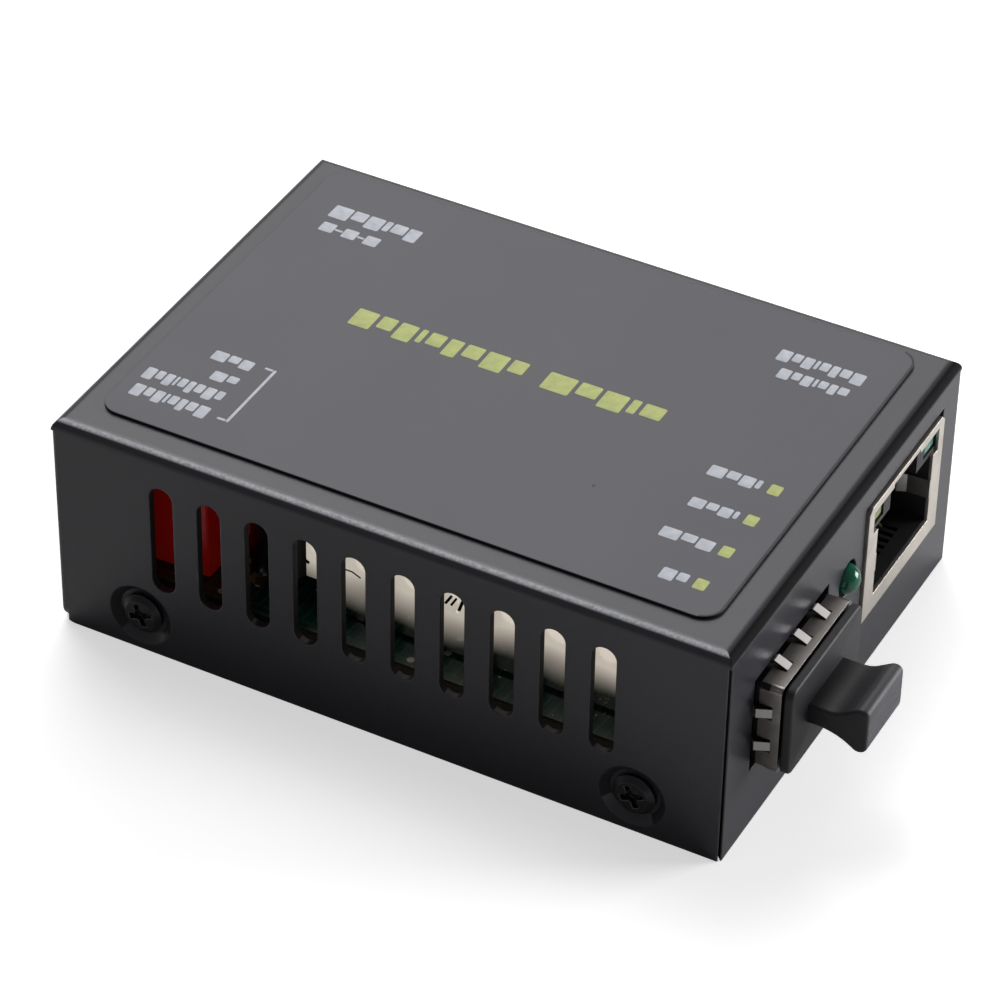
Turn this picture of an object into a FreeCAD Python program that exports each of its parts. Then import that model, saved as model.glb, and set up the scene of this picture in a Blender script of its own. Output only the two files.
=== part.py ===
"""Fibre media converter: a folded steel case round one board with an RJ45 jack and an SFP cage.

Frame: millimetres, +Z up, origin at the middle of the underside. The two network ports face +X,
the power socket and the option switches face -X.
"""
import FreeCAD, Part
import math
import os

import Sketcher

Vector = FreeCAD.Vector

# ---------------------------------------------------------------- driving dimensions
DIMENSIONS = [
    ("case_length", 70.0, "folded cover, along X"),
    ("case_width", 50.0, "folded cover, along Y"),
    ("case_height", 24.0, "folded cover, along Z"),
    ("cover_sheet", 0.8, "thickness of the cover"),
    ("bend_radius", 1.2, "outside radius of the cover's bends"),
    ("seam_gap", 0.18, "open corner between two folded walls"),
    ("seam_bevel", 0.34, "bevel across an open corner"),
    ("flap_corner", 1.6, "rounded lower corners of the walls at the power end"),
    ("wall_clearance", 0.1, "between the base plate and the end walls"),
    ("slot_width", 2.5, "vent slot"),
    ("slot_low", 8.0, "vent slot, lower end"),
    ("slot_high", 20.3, "vent slot, upper end"),
    ("slot_pitch", 5.1, "from one vent slot to the next"),
    ("slot_middle_x", -0.27, "middle of the row of slots"),
    ("side_screw_x", 26.0, "cover screws, from the middle"),
    ("side_screw_z", 4.1, "cover screws, above the underside"),
    ("dimple_radius", 3.35, "pressed dimple round a cover screw, at its rim"),
    ("dimple_floor_radius", 2.55, "the same, at its floor"),
    ("dimple_depth", 0.7, "the same, depth"),
    ("head_radius", 2.15, "pan head of the M2.5 screws"),
    ("head_height", 0.85, "pan head of the M2.5 screws"),
    ("thread_radius", 1.25, "M2.5 thread"),
    ("side_screw_reach", 3.6, "length of a cover screw under its head"),
    ("base_sheet", 0.8, "thickness of the base plate"),
    ("flange_top", 7.3, "upper edge of the base plate's side flanges"),
    ("label_low_x", -32.2, "face label"),
    ("label_high_x", 31.5, "face label"),
    ("label_low_y", -21.45, "face label"),
    ("label_high_y", 23.1, "face label"),
    ("label_corner", 2.1, "face label, corner radius"),
    ("label_sheet", 0.3, "face label, thickness"),
    ("board_top", 7.4, "upper side of the circuit board"),
    ("board_sheet", 1.6, "thickness of the circuit board"),
    ("board_front", 33.2, "board edge at the ports"),
    ("board_back", -33.6, "board edge at the power socket"),
    ("board_half_width", 22.5, "board, half its width"),
    ("standoff_radius", 2.1, "self-clinching standoff"),
    ("cage_middle_y", -11.95, "SFP cage"),
    ("cage_middle_z", 12.25, "SFP cage"),
    ("cage_width", 14.4, "SFP cage, outside"),
    ("cage_height", 9.5, "SFP cage, outside"),
    ("cage_mouth", 37.3, "SFP cage, front edge"),
    ("cage_rear", -11.2, "SFP cage, rear wall"),
    ("cage_wall", 0.3, "SFP cage, sheet"),
    ("collar_sheet", 0.2, "spring collar round the cage's mouth"),
    ("collar_front", 37.5, "spring collar, front edge"),
    ("collar_back", 35.35, "spring collar, rear edge"),
    ("finger_tail", 34.6, "spring finger, free end behind the case wall"),
    ("finger_width", 1.0, "spring finger"),
    ("finger_slit", 0.28, "slit beside a spring finger"),
    ("finger_root", 36.7, "spring finger, where it leaves the rim"),
    ("finger_crest", 35.35, "spring finger, highest point"),
    ("finger_rise", 0.6, "spring finger, height of its crest"),
    ("finger_pitch", 4.05, "between fingers along Y"),
    ("side_finger_pitch", 3.87, "between fingers along Z"),
    ("cutout_gap", 0.4, "case cut-out round the collar"),
    ("plug_reach", 12.0, "dust plug, length inside the cage"),
    ("plug_clearance", 0.2, "dust plug to cage, each side"),
    ("flange_sheet", 0.9, "dust plug, flange over the mouth"),
    ("grip_width", 7.7, "dust plug, grip along Y"),
    ("grip_end", 44.5, "dust plug, outer face of the grip"),
    ("neck_half", 1.1, "dust plug, half the neck's thickness"),
    ("bar_half", 2.5, "dust plug, half the end bar's height"),
    ("jack_middle_y", 12.35, "RJ45 jack"),
    ("jack_width", 17.0, "RJ45 shield, outside"),
    ("jack_low", 7.0, "RJ45 shield, lower edge of its face"),
    ("jack_high", 20.4, "RJ45 shield, top"),
    ("jack_face", 35.3, "RJ45 shield, front face"),
    ("jack_rear", 14.0, "RJ45 shield, rear wall"),
    ("jack_sheet", 0.3, "RJ45 shield, sheet"),
    ("socket_width", 12.6, "RJ45 socket"),
    ("socket_low", 9.0, "RJ45 socket, floor"),
    ("socket_high", 16.85, "RJ45 socket, ceiling"),
    ("socket_depth", 14.5, "RJ45 socket, depth"),
    ("notch_width", 6.0, "RJ45 socket, latch notch"),
    ("notch_high", 19.85, "RJ45 socket, top of the latch notch"),
    ("lamp_window", 2.8, "RJ45 indicator window, along Y"),
    ("lamp_window_low", 17.3, "RJ45 indicator window, lower edge"),
    ("lamp_window_high", 19.45, "RJ45 indicator window, upper edge"),
    ("lamp_offset", 5.95, "RJ45 indicators, from the jack's middle"),
    ("status_y", 0.2, "status lamp"),
    ("status_z", 15.0, "status lamp"),
    ("status_radius", 1.5, "status lamp, lens"),
    ("status_hole", 1.9, "status lamp, hole radius in the case"),
    ("power_y", 15.5, "power socket"),
    ("power_z", 13.9, "power socket, axis above the underside"),
    ("power_bore", 3.15, "power socket, bore radius"),
    ("power_pin", 1.05, "power socket, centre pin radius"),
    ("power_depth", 9.5, "power socket, bore depth"),
    ("power_nose", 3.8, "power socket, radius of its round nose"),
    ("switch_middle_y", -14.95, "option switch block"),
    ("switch_low_x", -31.0, "option switch block, actuator face"),
    ("switch_high_x", -20.8, "option switch block, rear face"),
    ("switch_width", 11.7, "option switch block, along Y"),
    ("switch_top", 16.8, "option switch block, top"),
    ("lever_pitch", 2.54, "from one option lever to the next"),
    ("lever_tilt", 8.0, "a lever's tilt at either stop, in degrees"),
]


class Size:
    """A length that carries its spreadsheet expression through arithmetic."""

    def __init__(self, number, text):
        self.number = float(number)
        self.text = text

    def _join(self, other, sign, result, swapped=False):
        text = other.text if isinstance(other, Size) else repr(float(other))
        first, second = (text, self.text) if swapped else (self.text, text)
        return Size(result, f"({first} {sign} {second})")

    def __add__(self, other):
        return self._join(other, "+", self.number + float(other))

    def __radd__(self, other):
        return self._join(other, "+", float(other) + self.number, swapped=True)

    def __sub__(self, other):
        return self._join(other, "-", self.number - float(other))

    def __rsub__(self, other):
        return self._join(other, "-", float(other) - self.number, swapped=True)

    def __mul__(self, other):
        return self._join(other, "*", self.number * float(other))

    def __rmul__(self, other):
        return self._join(other, "*", float(other) * self.number, swapped=True)

    def __truediv__(self, other):
        return self._join(other, "/", self.number / float(other))

    def __neg__(self):
        return Size(-self.number, f"(0 - {self.text})")

    def __float__(self):
        return self.number


doc = FreeCAD.newDocument("media_converter")
sheet = doc.addObject("Spreadsheet::Sheet", "Dimensions")
sheet.Label = "driving dimensions"


def fill_sheet():
    """Write the driving dimensions and hand them back by name."""
    named = {}
    for row, (alias, number, meaning) in enumerate(DIMENSIONS, start=1):
        sheet.set(f"A{row}", meaning)
        sheet.set(f"B{row}", str(number))
        sheet.setAlias(f"B{row}", alias)
        named[alias] = Size(number, f"Dimensions.{alias}")
    doc.recompute()
    return named


D = type("DrivingDimensions", (), fill_sheet())
SLOT_COUNT = 10
FINGERS_ACROSS = 3
FINGERS_UP = 2
LEVER_COUNT = 4
PARTS = {}


def keep(node, label):
    """Name a finished sub-part; its label is its file name."""
    node.Label = label
    PARTS[label] = node
    return node


def bind(target, name, size):
    """Set a property, by expression where the size comes from the sheet."""
    if isinstance(size, Size):
        target.setExpression(name, size.text)
    else:
        setattr(target, name, size)


def place(target, x=0, y=0, z=0, axis=Vector(0, 0, 1), angle=0):
    """Put an object somewhere; sizes from the sheet stay bound to it."""
    base = Vector(float(x), float(y), float(z))
    target.Placement = FreeCAD.Placement(base, FreeCAD.Rotation(axis, float(angle)))
    for letter, size in zip("xyz", (x, y, z)):
        if isinstance(size, Size):
            target.setExpression(f"Placement.Base.{letter}", size.text)
    return target


# ---------------------------------------------------------------- primitives
def block(low, high, name="Block"):
    """A box from its low corner to its high corner."""
    item = doc.addObject("Part::Box", name)
    for prop, start, end in zip(("Length", "Width", "Height"), low, high):
        span = end - start
        bind(item, prop, span)
    return place(item, *low)


def rod(centre, radius, length, axis="z", name="Rod"):
    """A cylinder from centre, running along +axis."""
    item = doc.addObject("Part::Cylinder", name)
    bind(item, "Radius", radius)
    bind(item, "Height", length)
    turn = {"x": (Vector(0, 1, 0), 90), "y": (Vector(1, 0, 0), -90), "z": (Vector(0, 0, 1), 0)}[axis]
    return place(item, *centre, axis=turn[0], angle=turn[1])


def ball(centre, radius):
    """A sphere."""
    item = doc.addObject("Part::Sphere", "Ball")
    bind(item, "Radius", radius)
    return place(item, *centre)


def joined(items, label=None):
    """Fuse several solids into one."""
    item = doc.addObject("Part::MultiFuse", "Join")
    item.Shapes = items
    return keep(item, label) if label else item


def without(base, tools, label=None):
    """Cut tools out of a solid."""
    item = doc.addObject("Part::Cut", "Cut")
    item.Base = base
    item.Tool = tools[0] if len(tools) == 1 else joined(tools)
    return keep(item, label) if label else item


def group(items, label):
    """Separate solids that share one node."""
    item = doc.addObject("Part::Compound", "Group")
    item.Links = items
    return keep(item, label)


def rounded(base, radius, test, name="Rounding"):
    """Round the edges of a primitive for which test(edge) is true."""
    doc.recompute()
    item = doc.addObject("Part::Fillet", name)
    item.Base = base
    chosen = [i for i, edge in enumerate(base.Shape.Edges, start=1) if test(edge)]
    item.Edges = [(i, float(radius), float(radius)) for i in chosen]
    return item


def beveled(base, size, test):
    """Chamfer the edges of a primitive for which test(edge) is true."""
    doc.recompute()
    item = doc.addObject("Part::Chamfer", "Bevel")
    item.Base = base
    chosen = [i for i, edge in enumerate(base.Shape.Edges, start=1) if test(edge)]
    item.Edges = [(i, float(size), float(size)) for i in chosen]
    return item


# ---------------------------------------------------------------- sketches
def new_body(label):
    """An empty PartDesign body that will carry this label."""
    return keep(doc.addObject("PartDesign::Body", label), label)


def new_sketch(body, plane, offset=0):
    """A sketch on one of the body's origin planes, moved along the plane's normal."""
    sketch = body.newObject("Sketcher::SketchObject", "Sketch")
    face = [item for item in body.Origin.OriginFeatures if item.Role == plane][0]
    sketch.AttachmentSupport = [(face, "")]
    sketch.MapMode = "FlatFace"
    sketch.AttachmentOffset = FreeCAD.Placement(Vector(0, 0, float(offset)), FreeCAD.Rotation())
    if isinstance(offset, Size):
        sketch.setExpression("AttachmentOffset.Base.z", offset.text)
    return sketch


def pin_point(sketch, curve, end, x, y):
    """Hold one end of a sketch curve at x, y."""
    for kind, axis, size in (("DistanceX", -2, x), ("DistanceY", -1, y)):
        if abs(float(size)) < 1e-9:
            sketch.addConstraint(Sketcher.Constraint("PointOnObject", curve, end, axis))
            continue
        mark = sketch.addConstraint(Sketcher.Constraint(kind, -1, 1, curve, end, float(size)))
        if isinstance(size, Size):
            sketch.setExpression(f"Constraints[{mark}]", size.text)


def size_arc(sketch, curve, here, there):
    """Fix an arc whose ends are already held: a half circle by its centre, others by radius."""
    radius = here[2]
    run = [float(there[i]) - float(here[i]) for i in (0, 1)]
    if math.hypot(*run) < 1.999 * abs(float(radius)):
        mark = sketch.addConstraint(Sketcher.Constraint("Radius", curve, abs(float(radius))))
        if isinstance(radius, Size):
            sketch.setExpression(f"Constraints[{mark}]", f"abs({radius.text})")
        return
    kind, i = ("DistanceY", 1) if abs(run[0]) > abs(run[1]) else ("DistanceX", 0)
    middle = (here[i] + there[i]) / 2
    mark = sketch.addConstraint(Sketcher.Constraint(kind, -1, 1, curve, 3, float(middle)))
    if isinstance(middle, Size):
        sketch.setExpression(f"Constraints[{mark}]", middle.text)


def outline(sketch, points):
    """A closed outline. A third number on a point makes the run to the next point an arc of
    that radius, turning left if it is positive and right if it is negative."""
    first = sketch.GeometryCount
    ends = []
    for here, there in zip(points, points[1:] + points[:1]):
        start = Vector(float(here[0]), float(here[1]), 0)
        end = Vector(float(there[0]), float(there[1]), 0)
        if len(here) == 2:
            sketch.addGeometry(Part.LineSegment(start, end), False)
            ends.append((1, 2))
            continue
        radius = abs(float(here[2]))
        left_turn = float(here[2]) > 0
        chord = end - start
        sagitta_side = Vector(-chord.y, chord.x, 0).normalize() * (1 if left_turn else -1)
        reach = math.sqrt(max(radius ** 2 - (chord.Length / 2) ** 2, 0.0))
        centre = (start + end) / 2 + sagitta_side * reach
        angles = [math.atan2(p.y - centre.y, p.x - centre.x) for p in (start, end)]
        if not left_turn:
            angles.reverse()
        circle = Part.Circle(centre, Vector(0, 0, 1), radius)
        sketch.addGeometry(Part.ArcOfCircle(circle, angles[0], angles[1]), False)
        ends.append((1, 2) if left_turn else (2, 1))
    count = len(points)
    for i in range(count):
        after = (i + 1) % count
        sketch.addConstraint(
            Sketcher.Constraint("Coincident", first + i, ends[i][1], first + after, ends[after][0]))
        if len(points[i]) == 3:
            size_arc(sketch, first + i, points[i], points[after])
    for i, point in enumerate(points):
        pin_point(sketch, first + i, ends[i][0], point[0], point[1])


def rectangle(sketch, low_x, low_y, high_x, high_y):
    """A closed rectangle."""
    outline(sketch, [(low_x, low_y), (high_x, low_y), (high_x, high_y), (low_x, high_y)])


def circle(sketch, x, y, radius):
    """A circle."""
    centre = Vector(float(x), float(y), 0)
    curve = sketch.addGeometry(Part.Circle(centre, Vector(0, 0, 1), float(radius)), False)
    pin_point(sketch, curve, 3, x, y)
    mark = sketch.addConstraint(Sketcher.Constraint("Radius", curve, float(radius)))
    if isinstance(radius, Size):
        sketch.setExpression(f"Constraints[{mark}]", radius.text)


def hexagon(sketch, x, y, across_corners):
    """A hexagon, two of its corners on the sketch's first axis."""
    tall = across_corners * (math.sqrt(3) / 2)
    outline(sketch, [(x + across_corners, y), (x + across_corners / 2, y + tall),
                     (x - across_corners / 2, y + tall), (x - across_corners, y),
                     (x - across_corners / 2, y - tall), (x + across_corners / 2, y - tall)])


def twelve_sided(sketch, x, y, across_corners):
    """A hidden clearance hole, drawn with twelve flats."""
    corners = []
    for i in range(12):
        turn = math.radians(30 * i)
        corners.append((x + across_corners * math.cos(turn), y + across_corners * math.sin(turn)))
    outline(sketch, corners)


def upright_slot(sketch, x, low, high, width):
    """A slot with round ends, standing along the sketch's second axis."""
    half = width / 2
    outline(sketch, [(x + half, low + half), (x + half, high - half, half),
                     (x - half, high - half), (x - half, low + half, half)])


def pad(body, sketch, length, back=False, both=False):
    """Extrude a sketch."""
    feature = body.newObject("PartDesign::Pad", "Pad")
    feature.Profile = sketch
    bind(feature, "Length", length)
    feature.Reversed = back
    feature.SideType = "Symmetric" if both else "One side"
    return feature


def pocket(body, sketch, length, back=False, both=False):
    """Cut a sketch away, and make sure that something was cut."""
    doc.recompute()
    before = body.Shape.Volume
    feature = body.newObject("PartDesign::Pocket", "Pocket")
    feature.Profile = sketch
    bind(feature, "Length", length)
    feature.Reversed = back
    feature.SideType = "Symmetric" if both else "One side"
    doc.recompute()
    if body.Shape.Volume > before - 1e-4:
        raise RuntimeError(f"{body.Label}: a pocket cut nothing")
    return feature


def chosen_edges(feature, test):
    """The names of a feature's edges for which test(edge) is true."""
    doc.recompute()
    return [f"Edge{i}" for i, edge in enumerate(feature.Shape.Edges, start=1) if test(edge)]


def fillet(body, radius, test, kind="PartDesign::Fillet", prop="Radius"):
    """Round the edges of the body's last feature that pass the test."""
    last = body.Tip
    names = chosen_edges(last, test)
    if not names:
        raise RuntimeError(f"{body.Label}: no edge to round")
    feature = body.newObject(kind, "Rounding")
    feature.Base = (last, names)
    bind(feature, prop, radius)
    return feature


def edge_box(edge):
    """An edge's bounding box, short to write in the tests."""
    return edge.BoundBox


def is_upright(edge):
    """True for a straight edge along Z."""
    box = edge_box(edge)
    return box.ZLength > 0.05 and box.XLength < 1e-6 and box.YLength < 1e-6


def near(a, b, slack=1e-4):
    """True where two lengths are the same."""
    return abs(float(a) - float(b)) < slack


# ---------------------------------------------------------------- case
HALF_LENGTH = D.case_length / 2
HALF_WIDTH = D.case_width / 2


def dimple(body, side_x, side_y, outside, sheet_size):
    """A pressed dimple in a wall whose outer face is |y| = outside: a cone added behind the
    sheet and the same cone, one sheet further out, cut from its front."""
    turn = FreeCAD.Rotation(Vector(1, 0, 0), 90 * side_y)
    for kind, depth_start in (("PartDesign::AdditiveCone", outside - sheet_size),
                              ("PartDesign::SubtractiveCone", outside)):
        cone = body.newObject(kind, "Dimple")
        bind(cone, "Radius1", D.dimple_radius)
        bind(cone, "Radius2", D.dimple_floor_radius)
        bind(cone, "Height", D.dimple_depth)
        base = Vector(side_x * float(D.side_screw_x), side_y * float(depth_start),
                      float(D.side_screw_z))
        cone.Placement = FreeCAD.Placement(base, turn)
        cone.setExpression("Placement.Base.x", (D.side_screw_x * side_x).text)
        cone.setExpression("Placement.Base.y", (depth_start * side_y).text)
        cone.setExpression("Placement.Base.z", D.side_screw_z.text)
        doc.recompute()


def make_top_cover():
    """The cover: one sheet, four walls folded down from the top, corners left open."""
    body = new_body("top_cover")
    outside = new_sketch(body, "XY_Plane")
    rectangle(outside, -HALF_LENGTH, -HALF_WIDTH, HALF_LENGTH, HALF_WIDTH)
    pad(body, outside, D.case_height)
    top = float(D.case_height)
    fillet(body, D.bend_radius, lambda e: near(edge_box(e).ZMin, top) and near(edge_box(e).ZMax, top))

    inside = new_sketch(body, "XY_Plane")
    inner_x = HALF_LENGTH - D.cover_sheet
    inner_y = HALF_WIDTH - D.cover_sheet
    rectangle(inside, -inner_x, -inner_y, inner_x, inner_y)
    pocket(body, inside, D.case_height - D.cover_sheet, back=True)
    ceiling = top - float(D.cover_sheet)
    fillet(body, D.bend_radius - D.cover_sheet,
           lambda e: near(edge_box(e).ZMin, ceiling) and near(edge_box(e).ZMax, ceiling))

    slots = new_sketch(body, "XZ_Plane")
    for i in range(SLOT_COUNT):
        x = D.slot_middle_x + D.slot_pitch * (i - (SLOT_COUNT - 1) / 2)
        upright_slot(slots, x, D.slot_low, D.slot_high, D.slot_width)
    pocket(body, slots, D.case_width + 2, both=True)

    for side_x in (-1, 1):
        for side_y in (-1, 1):
            dimple(body, side_x, side_y, HALF_WIDTH, D.cover_sheet)
    holes = new_sketch(body, "XZ_Plane")
    for side_x in (-1, 1):
        twelve_sided(holes, D.side_screw_x * side_x, D.side_screw_z, D.thread_radius + 0.15)
    pocket(body, holes, D.case_width + 2, both=True)

    ports = new_sketch(body, "YZ_Plane", offset=HALF_LENGTH + 1)
    gap = D.collar_sheet + D.cutout_gap
    rectangle(ports, D.cage_middle_y - D.cage_width / 2 - gap, D.cage_middle_z - D.cage_height / 2 - gap,
              D.cage_middle_y + D.cage_width / 2 + gap, D.cage_middle_z + D.cage_height / 2 + gap)
    jack_gap = 0.3
    rectangle(ports, D.jack_middle_y - D.jack_width / 2 - jack_gap, D.jack_low - jack_gap,
              D.jack_middle_y + D.jack_width / 2 + jack_gap, D.jack_high + jack_gap)
    circle(ports, D.status_y, D.status_z, D.status_hole)
    pocket(body, ports, D.cover_sheet + 2)

    back = new_sketch(body, "YZ_Plane", offset=-HALF_LENGTH - 1)
    circle(back, D.power_y, D.power_z, D.power_nose + 0.25)
    window_half = D.lever_pitch * 1.5 + 1.2
    rectangle(back, D.switch_middle_y - window_half, 9.6, D.switch_middle_y + window_half, 15.2)
    pocket(body, back, D.cover_sheet + 2, back=True)

    seams = new_sketch(body, "XY_Plane")
    for side_x in (-1, 1):
        for side_y in (-1, 1):
            outline(seams, [(HALF_LENGTH * side_x - inward_x * side_x, HALF_WIDTH * side_y - inward_y * side_y)
                            for inward_x, inward_y in seam_outline()])
    pocket(body, seams, D.case_height - D.bend_radius, back=True)
    round_flap_corners(body)
    return body


def seam_outline():
    """The cut at a corner, as distances in from both walls: a bevel across the corner and a
    narrow slit from its middle through the sheet."""
    bevel, spare = D.seam_bevel, 0.3
    near_side, far_side = bevel / 2 - D.seam_gap / 2, bevel / 2 + D.seam_gap / 2
    reach = D.cover_sheet + 0.2
    return [(-spare, -spare), (-spare, bevel + spare), (near_side, far_side),
            (near_side + reach, far_side + reach), (far_side + reach, near_side + reach),
            (far_side, near_side), (bevel + spare, -spare)]


def round_flap_corners(body):
    """Round the lower corners of the walls at the power end."""
    radius = D.flap_corner
    end = -HALF_LENGTH
    for side_y in (-1, 1):
        side = new_sketch(body, "XZ_Plane", offset=HALF_WIDTH * -side_y)
        outline(side, [(end - 0.5, radius), (end, radius, radius), (end + radius, 0),
                       (end + radius, -0.5), (end - 0.5, -0.5)])
        pocket(body, side, D.cover_sheet + 0.02, back=side_y > 0)
    back = new_sketch(body, "YZ_Plane", offset=end)
    for side_y in (-1, 1):
        edge = HALF_WIDTH * side_y
        inner = edge - radius * side_y
        outline(back, [(edge + side_y, radius), (edge, radius, radius * -side_y), (inner, 0),
                       (inner, -0.5), (edge + side_y, -0.5)])
    pocket(body, back, D.cover_sheet + 0.02, back=True)


def make_base_plate():
    """The base: a flat plate with two flanges folded up. The backs of the cover's dimples rest
    on the flanges, which carry the screw holes."""
    body = new_body("base_plate")
    half_x = HALF_LENGTH - D.cover_sheet - D.wall_clearance
    half_y = HALF_WIDTH - D.cover_sheet - D.dimple_depth - 0.02
    profile = new_sketch(body, "YZ_Plane")
    inner_y = half_y - D.base_sheet
    bend = 0.5
    outer_bend = D.base_sheet + bend
    outline(profile, [
        (-half_y + outer_bend, 0), (half_y - outer_bend, 0, outer_bend),
        (half_y, outer_bend), (half_y, D.flange_top), (inner_y, D.flange_top),
        (inner_y, outer_bend, -bend), (inner_y - bend, D.base_sheet),
        (-inner_y + bend, D.base_sheet, -bend), (-inner_y, outer_bend),
        (-inner_y, D.flange_top), (-half_y, D.flange_top), (-half_y, outer_bend, outer_bend)])
    pad(body, profile, half_x * 2, both=True)

    relief = new_sketch(body, "XZ_Plane")
    corner = 1.6
    for side_x in (-1, 1):
        outline(relief, [(half_x * side_x + side_x, outer_bend),
                         ((half_x - corner) * side_x, outer_bend),
                         ((half_x - corner) * side_x, D.flange_top + 1),
                         (half_x * side_x + side_x, D.flange_top + 1)])
    pocket(body, relief, D.case_width, both=True)

    holes = new_sketch(body, "XZ_Plane")
    for side_x in (-1, 1):
        twelve_sided(holes, D.side_screw_x * side_x, D.side_screw_z, D.thread_radius + 0.08)
    pocket(body, holes, D.case_width + 2, both=True)

    studs = new_sketch(body, "XY_Plane")
    for x, y in BOARD_SCREWS:
        hexagon(studs, x, y, D.standoff_radius)
    pocket(body, studs, D.base_sheet * 2 + 2, both=True)
    return body


# where the board is screwed down, clear of the connectors
BOARD_SCREWS = [(26.0, 0.1), (-29.6, -2.4), (-12.0, 19.0)]


def make_face_label():
    """The printed sticker on top: a thin sheet with round corners."""
    body = new_body("face_label")
    sketch = new_sketch(body, "XY_Plane", offset=D.case_height)
    corner = D.label_corner
    low_x, high_x = D.label_low_x, D.label_high_x
    low_y, high_y = D.label_low_y, D.label_high_y
    outline(sketch, [
        (low_x + corner, low_y), (high_x - corner, low_y, corner), (high_x, low_y + corner),
        (high_x, high_y - corner, corner), (high_x - corner, high_y),
        (low_x + corner, high_y, corner), (low_x, high_y - corner), (low_x, low_y + corner, corner)])
    pad(body, sketch, D.label_sheet)
    return body


# ---------------------------------------------------------------- screws
def pan_screw(reach, with_recess):
    """A pan-head screw along Z, the underside of its head at z = 0. Its hidden thread is drawn
    as a twelve-sided shank."""
    rim = D.head_height * 0.55
    shank = doc.addObject("Part::Prism", "Shank")
    shank.Polygon = 12
    bind(shank, "Circumradius", D.thread_radius)
    bind(shank, "Height", reach + 0.1)
    place(shank, 0, 0, reach * -1)
    crown = doc.addObject("Part::Cone", "Crown")
    bind(crown, "Radius1", D.head_radius)
    bind(crown, "Radius2", D.head_radius - 0.55)
    bind(crown, "Height", D.head_height - rim)
    place(crown, 0, 0, rim)
    screw = joined([shank, rod((0, 0, 0), D.head_radius, rim), crown])
    if with_recess:
        arm, half, heart_radius, floor = 1.25, 0.33, 0.85, 0.2
        heart = doc.addObject("Part::Prism", "Heart")
        heart.Polygon = 4
        bind(heart, "Circumradius", heart_radius)
        bind(heart, "Height", D.head_height)
        place(heart, 0, 0, floor)
        screw = without(screw, [block((-arm, -half, floor), (arm, half, 2.0)),
                                block((-half, -arm, floor), (half, arm, 2.0)), heart])
    doc.recompute()
    return screw.Shape


def copy_of(shape, rotation, base, centre=Vector()):
    """A copy of a finished solid, turned about a centre and moved."""
    feature = doc.addObject("Part::Feature", "Copy")
    feature.Shape = shape.copy()
    feature.Placement = FreeCAD.Placement(base, rotation, centre)
    return feature


def make_screws():
    """Four screws through the cover's dimples, and those that hold the board."""
    long_screw = pan_screw(D.side_screw_reach, with_recess=True)
    short_screw = pan_screw(D.board_sheet + 2.4, with_recess=False)
    seat = float(HALF_WIDTH - D.dimple_depth)
    cover_screws = []
    for side_y, side_x, twist in ((-1, -1, 21), (-1, 1, 24), (1, -1, 60), (1, 1, 80)):
        lie = FreeCAD.Rotation(Vector(1, 0, 0), -90 * side_y)
        spin = FreeCAD.Rotation(Vector(0, 0, 1), twist)
        base = Vector(side_x * float(D.side_screw_x), side_y * seat, float(D.side_screw_z))
        cover_screws.append(copy_of(long_screw, lie.multiply(spin), base))
    group(cover_screws, "cover_screws")
    board_screws = []
    for x, y in BOARD_SCREWS:
        board_screws.append(copy_of(short_screw, FreeCAD.Rotation(), Vector(x, y, float(D.board_top))))
    group(board_screws, "board_screws")


def make_standoffs():
    """Clinched hexagonal standoffs, flush with the underside, bored for the board's screws."""
    items = []
    well_depth = D.board_top - D.board_sheet - D.base_sheet
    for x, y in BOARD_SCREWS:
        post = doc.addObject("Part::Prism", "Post")
        post.Polygon = 6
        bind(post, "Circumradius", D.standoff_radius)
        bind(post, "Height", D.board_top - D.board_sheet)
        place(post, x, y, 0)
        well = doc.addObject("Part::Prism", "Well")
        well.Polygon = 12
        bind(well, "Circumradius", D.thread_radius + 0.08)
        bind(well, "Height", well_depth + 1)
        place(well, x, y, D.base_sheet)
        items.append(without(post, [well]))
    group(items, "standoffs")


# ---------------------------------------------------------------- board
CAGE_PIN_X = (30.5, 18.5, 6.5, -5.5)
SHIELD_TAB_X = D.jack_rear + 5.0


def make_board():
    """The board: a flat plate with its screw holes and the plated slots of cage and jack."""
    body = new_body("circuit_board")
    sketch = new_sketch(body, "XY_Plane", offset=D.board_top - D.board_sheet)
    rectangle(sketch, D.board_back, -D.board_half_width, D.board_front, D.board_half_width)
    pad(body, sketch, D.board_sheet)
    holes = new_sketch(body, "XY_Plane", offset=D.board_top)
    for x, y in BOARD_SCREWS:
        twelve_sided(holes, x, y, D.thread_radius + 0.2)
    for side in (-1, 1):
        wall = D.cage_middle_y + (D.cage_width / 2 - D.cage_wall / 2) * side
        for x in CAGE_PIN_X:
            rectangle(holes, x - 0.55, wall - 0.3, x + 0.55, wall + 0.3)
        wall = D.jack_middle_y + (D.jack_width / 2 - D.jack_sheet / 2) * side
        rectangle(holes, SHIELD_TAB_X - 0.9, wall - 0.3, SHIELD_TAB_X + 0.9, wall + 0.3)
    pocket(body, holes, D.board_sheet + 1)
    return body


def make_converter_chip():
    """The converter chip: a flat package with leads on all four sides."""
    x, y, half = 1.0, 8.0, 5.0
    top = D.board_top
    keep(block((x - half, y - half, top + 0.1), (x + half, y + half, top + 1.3)), "converter_chip")
    leads = []
    for i in range(8):
        along = 1.1 * (i - 3.5)
        for side in (-1, 1):
            low, high = sorted((side * half, side * (half + 1.0)))
            leads.append(block((x + low, y + along - 0.2, top), (x + high, y + along + 0.2, top + 0.16)))
            leads.append(block((x + along - 0.2, y + low, top), (x + along + 0.2, y + high, top + 0.16)))
    group(leads, "converter_chip_leads")


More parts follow.
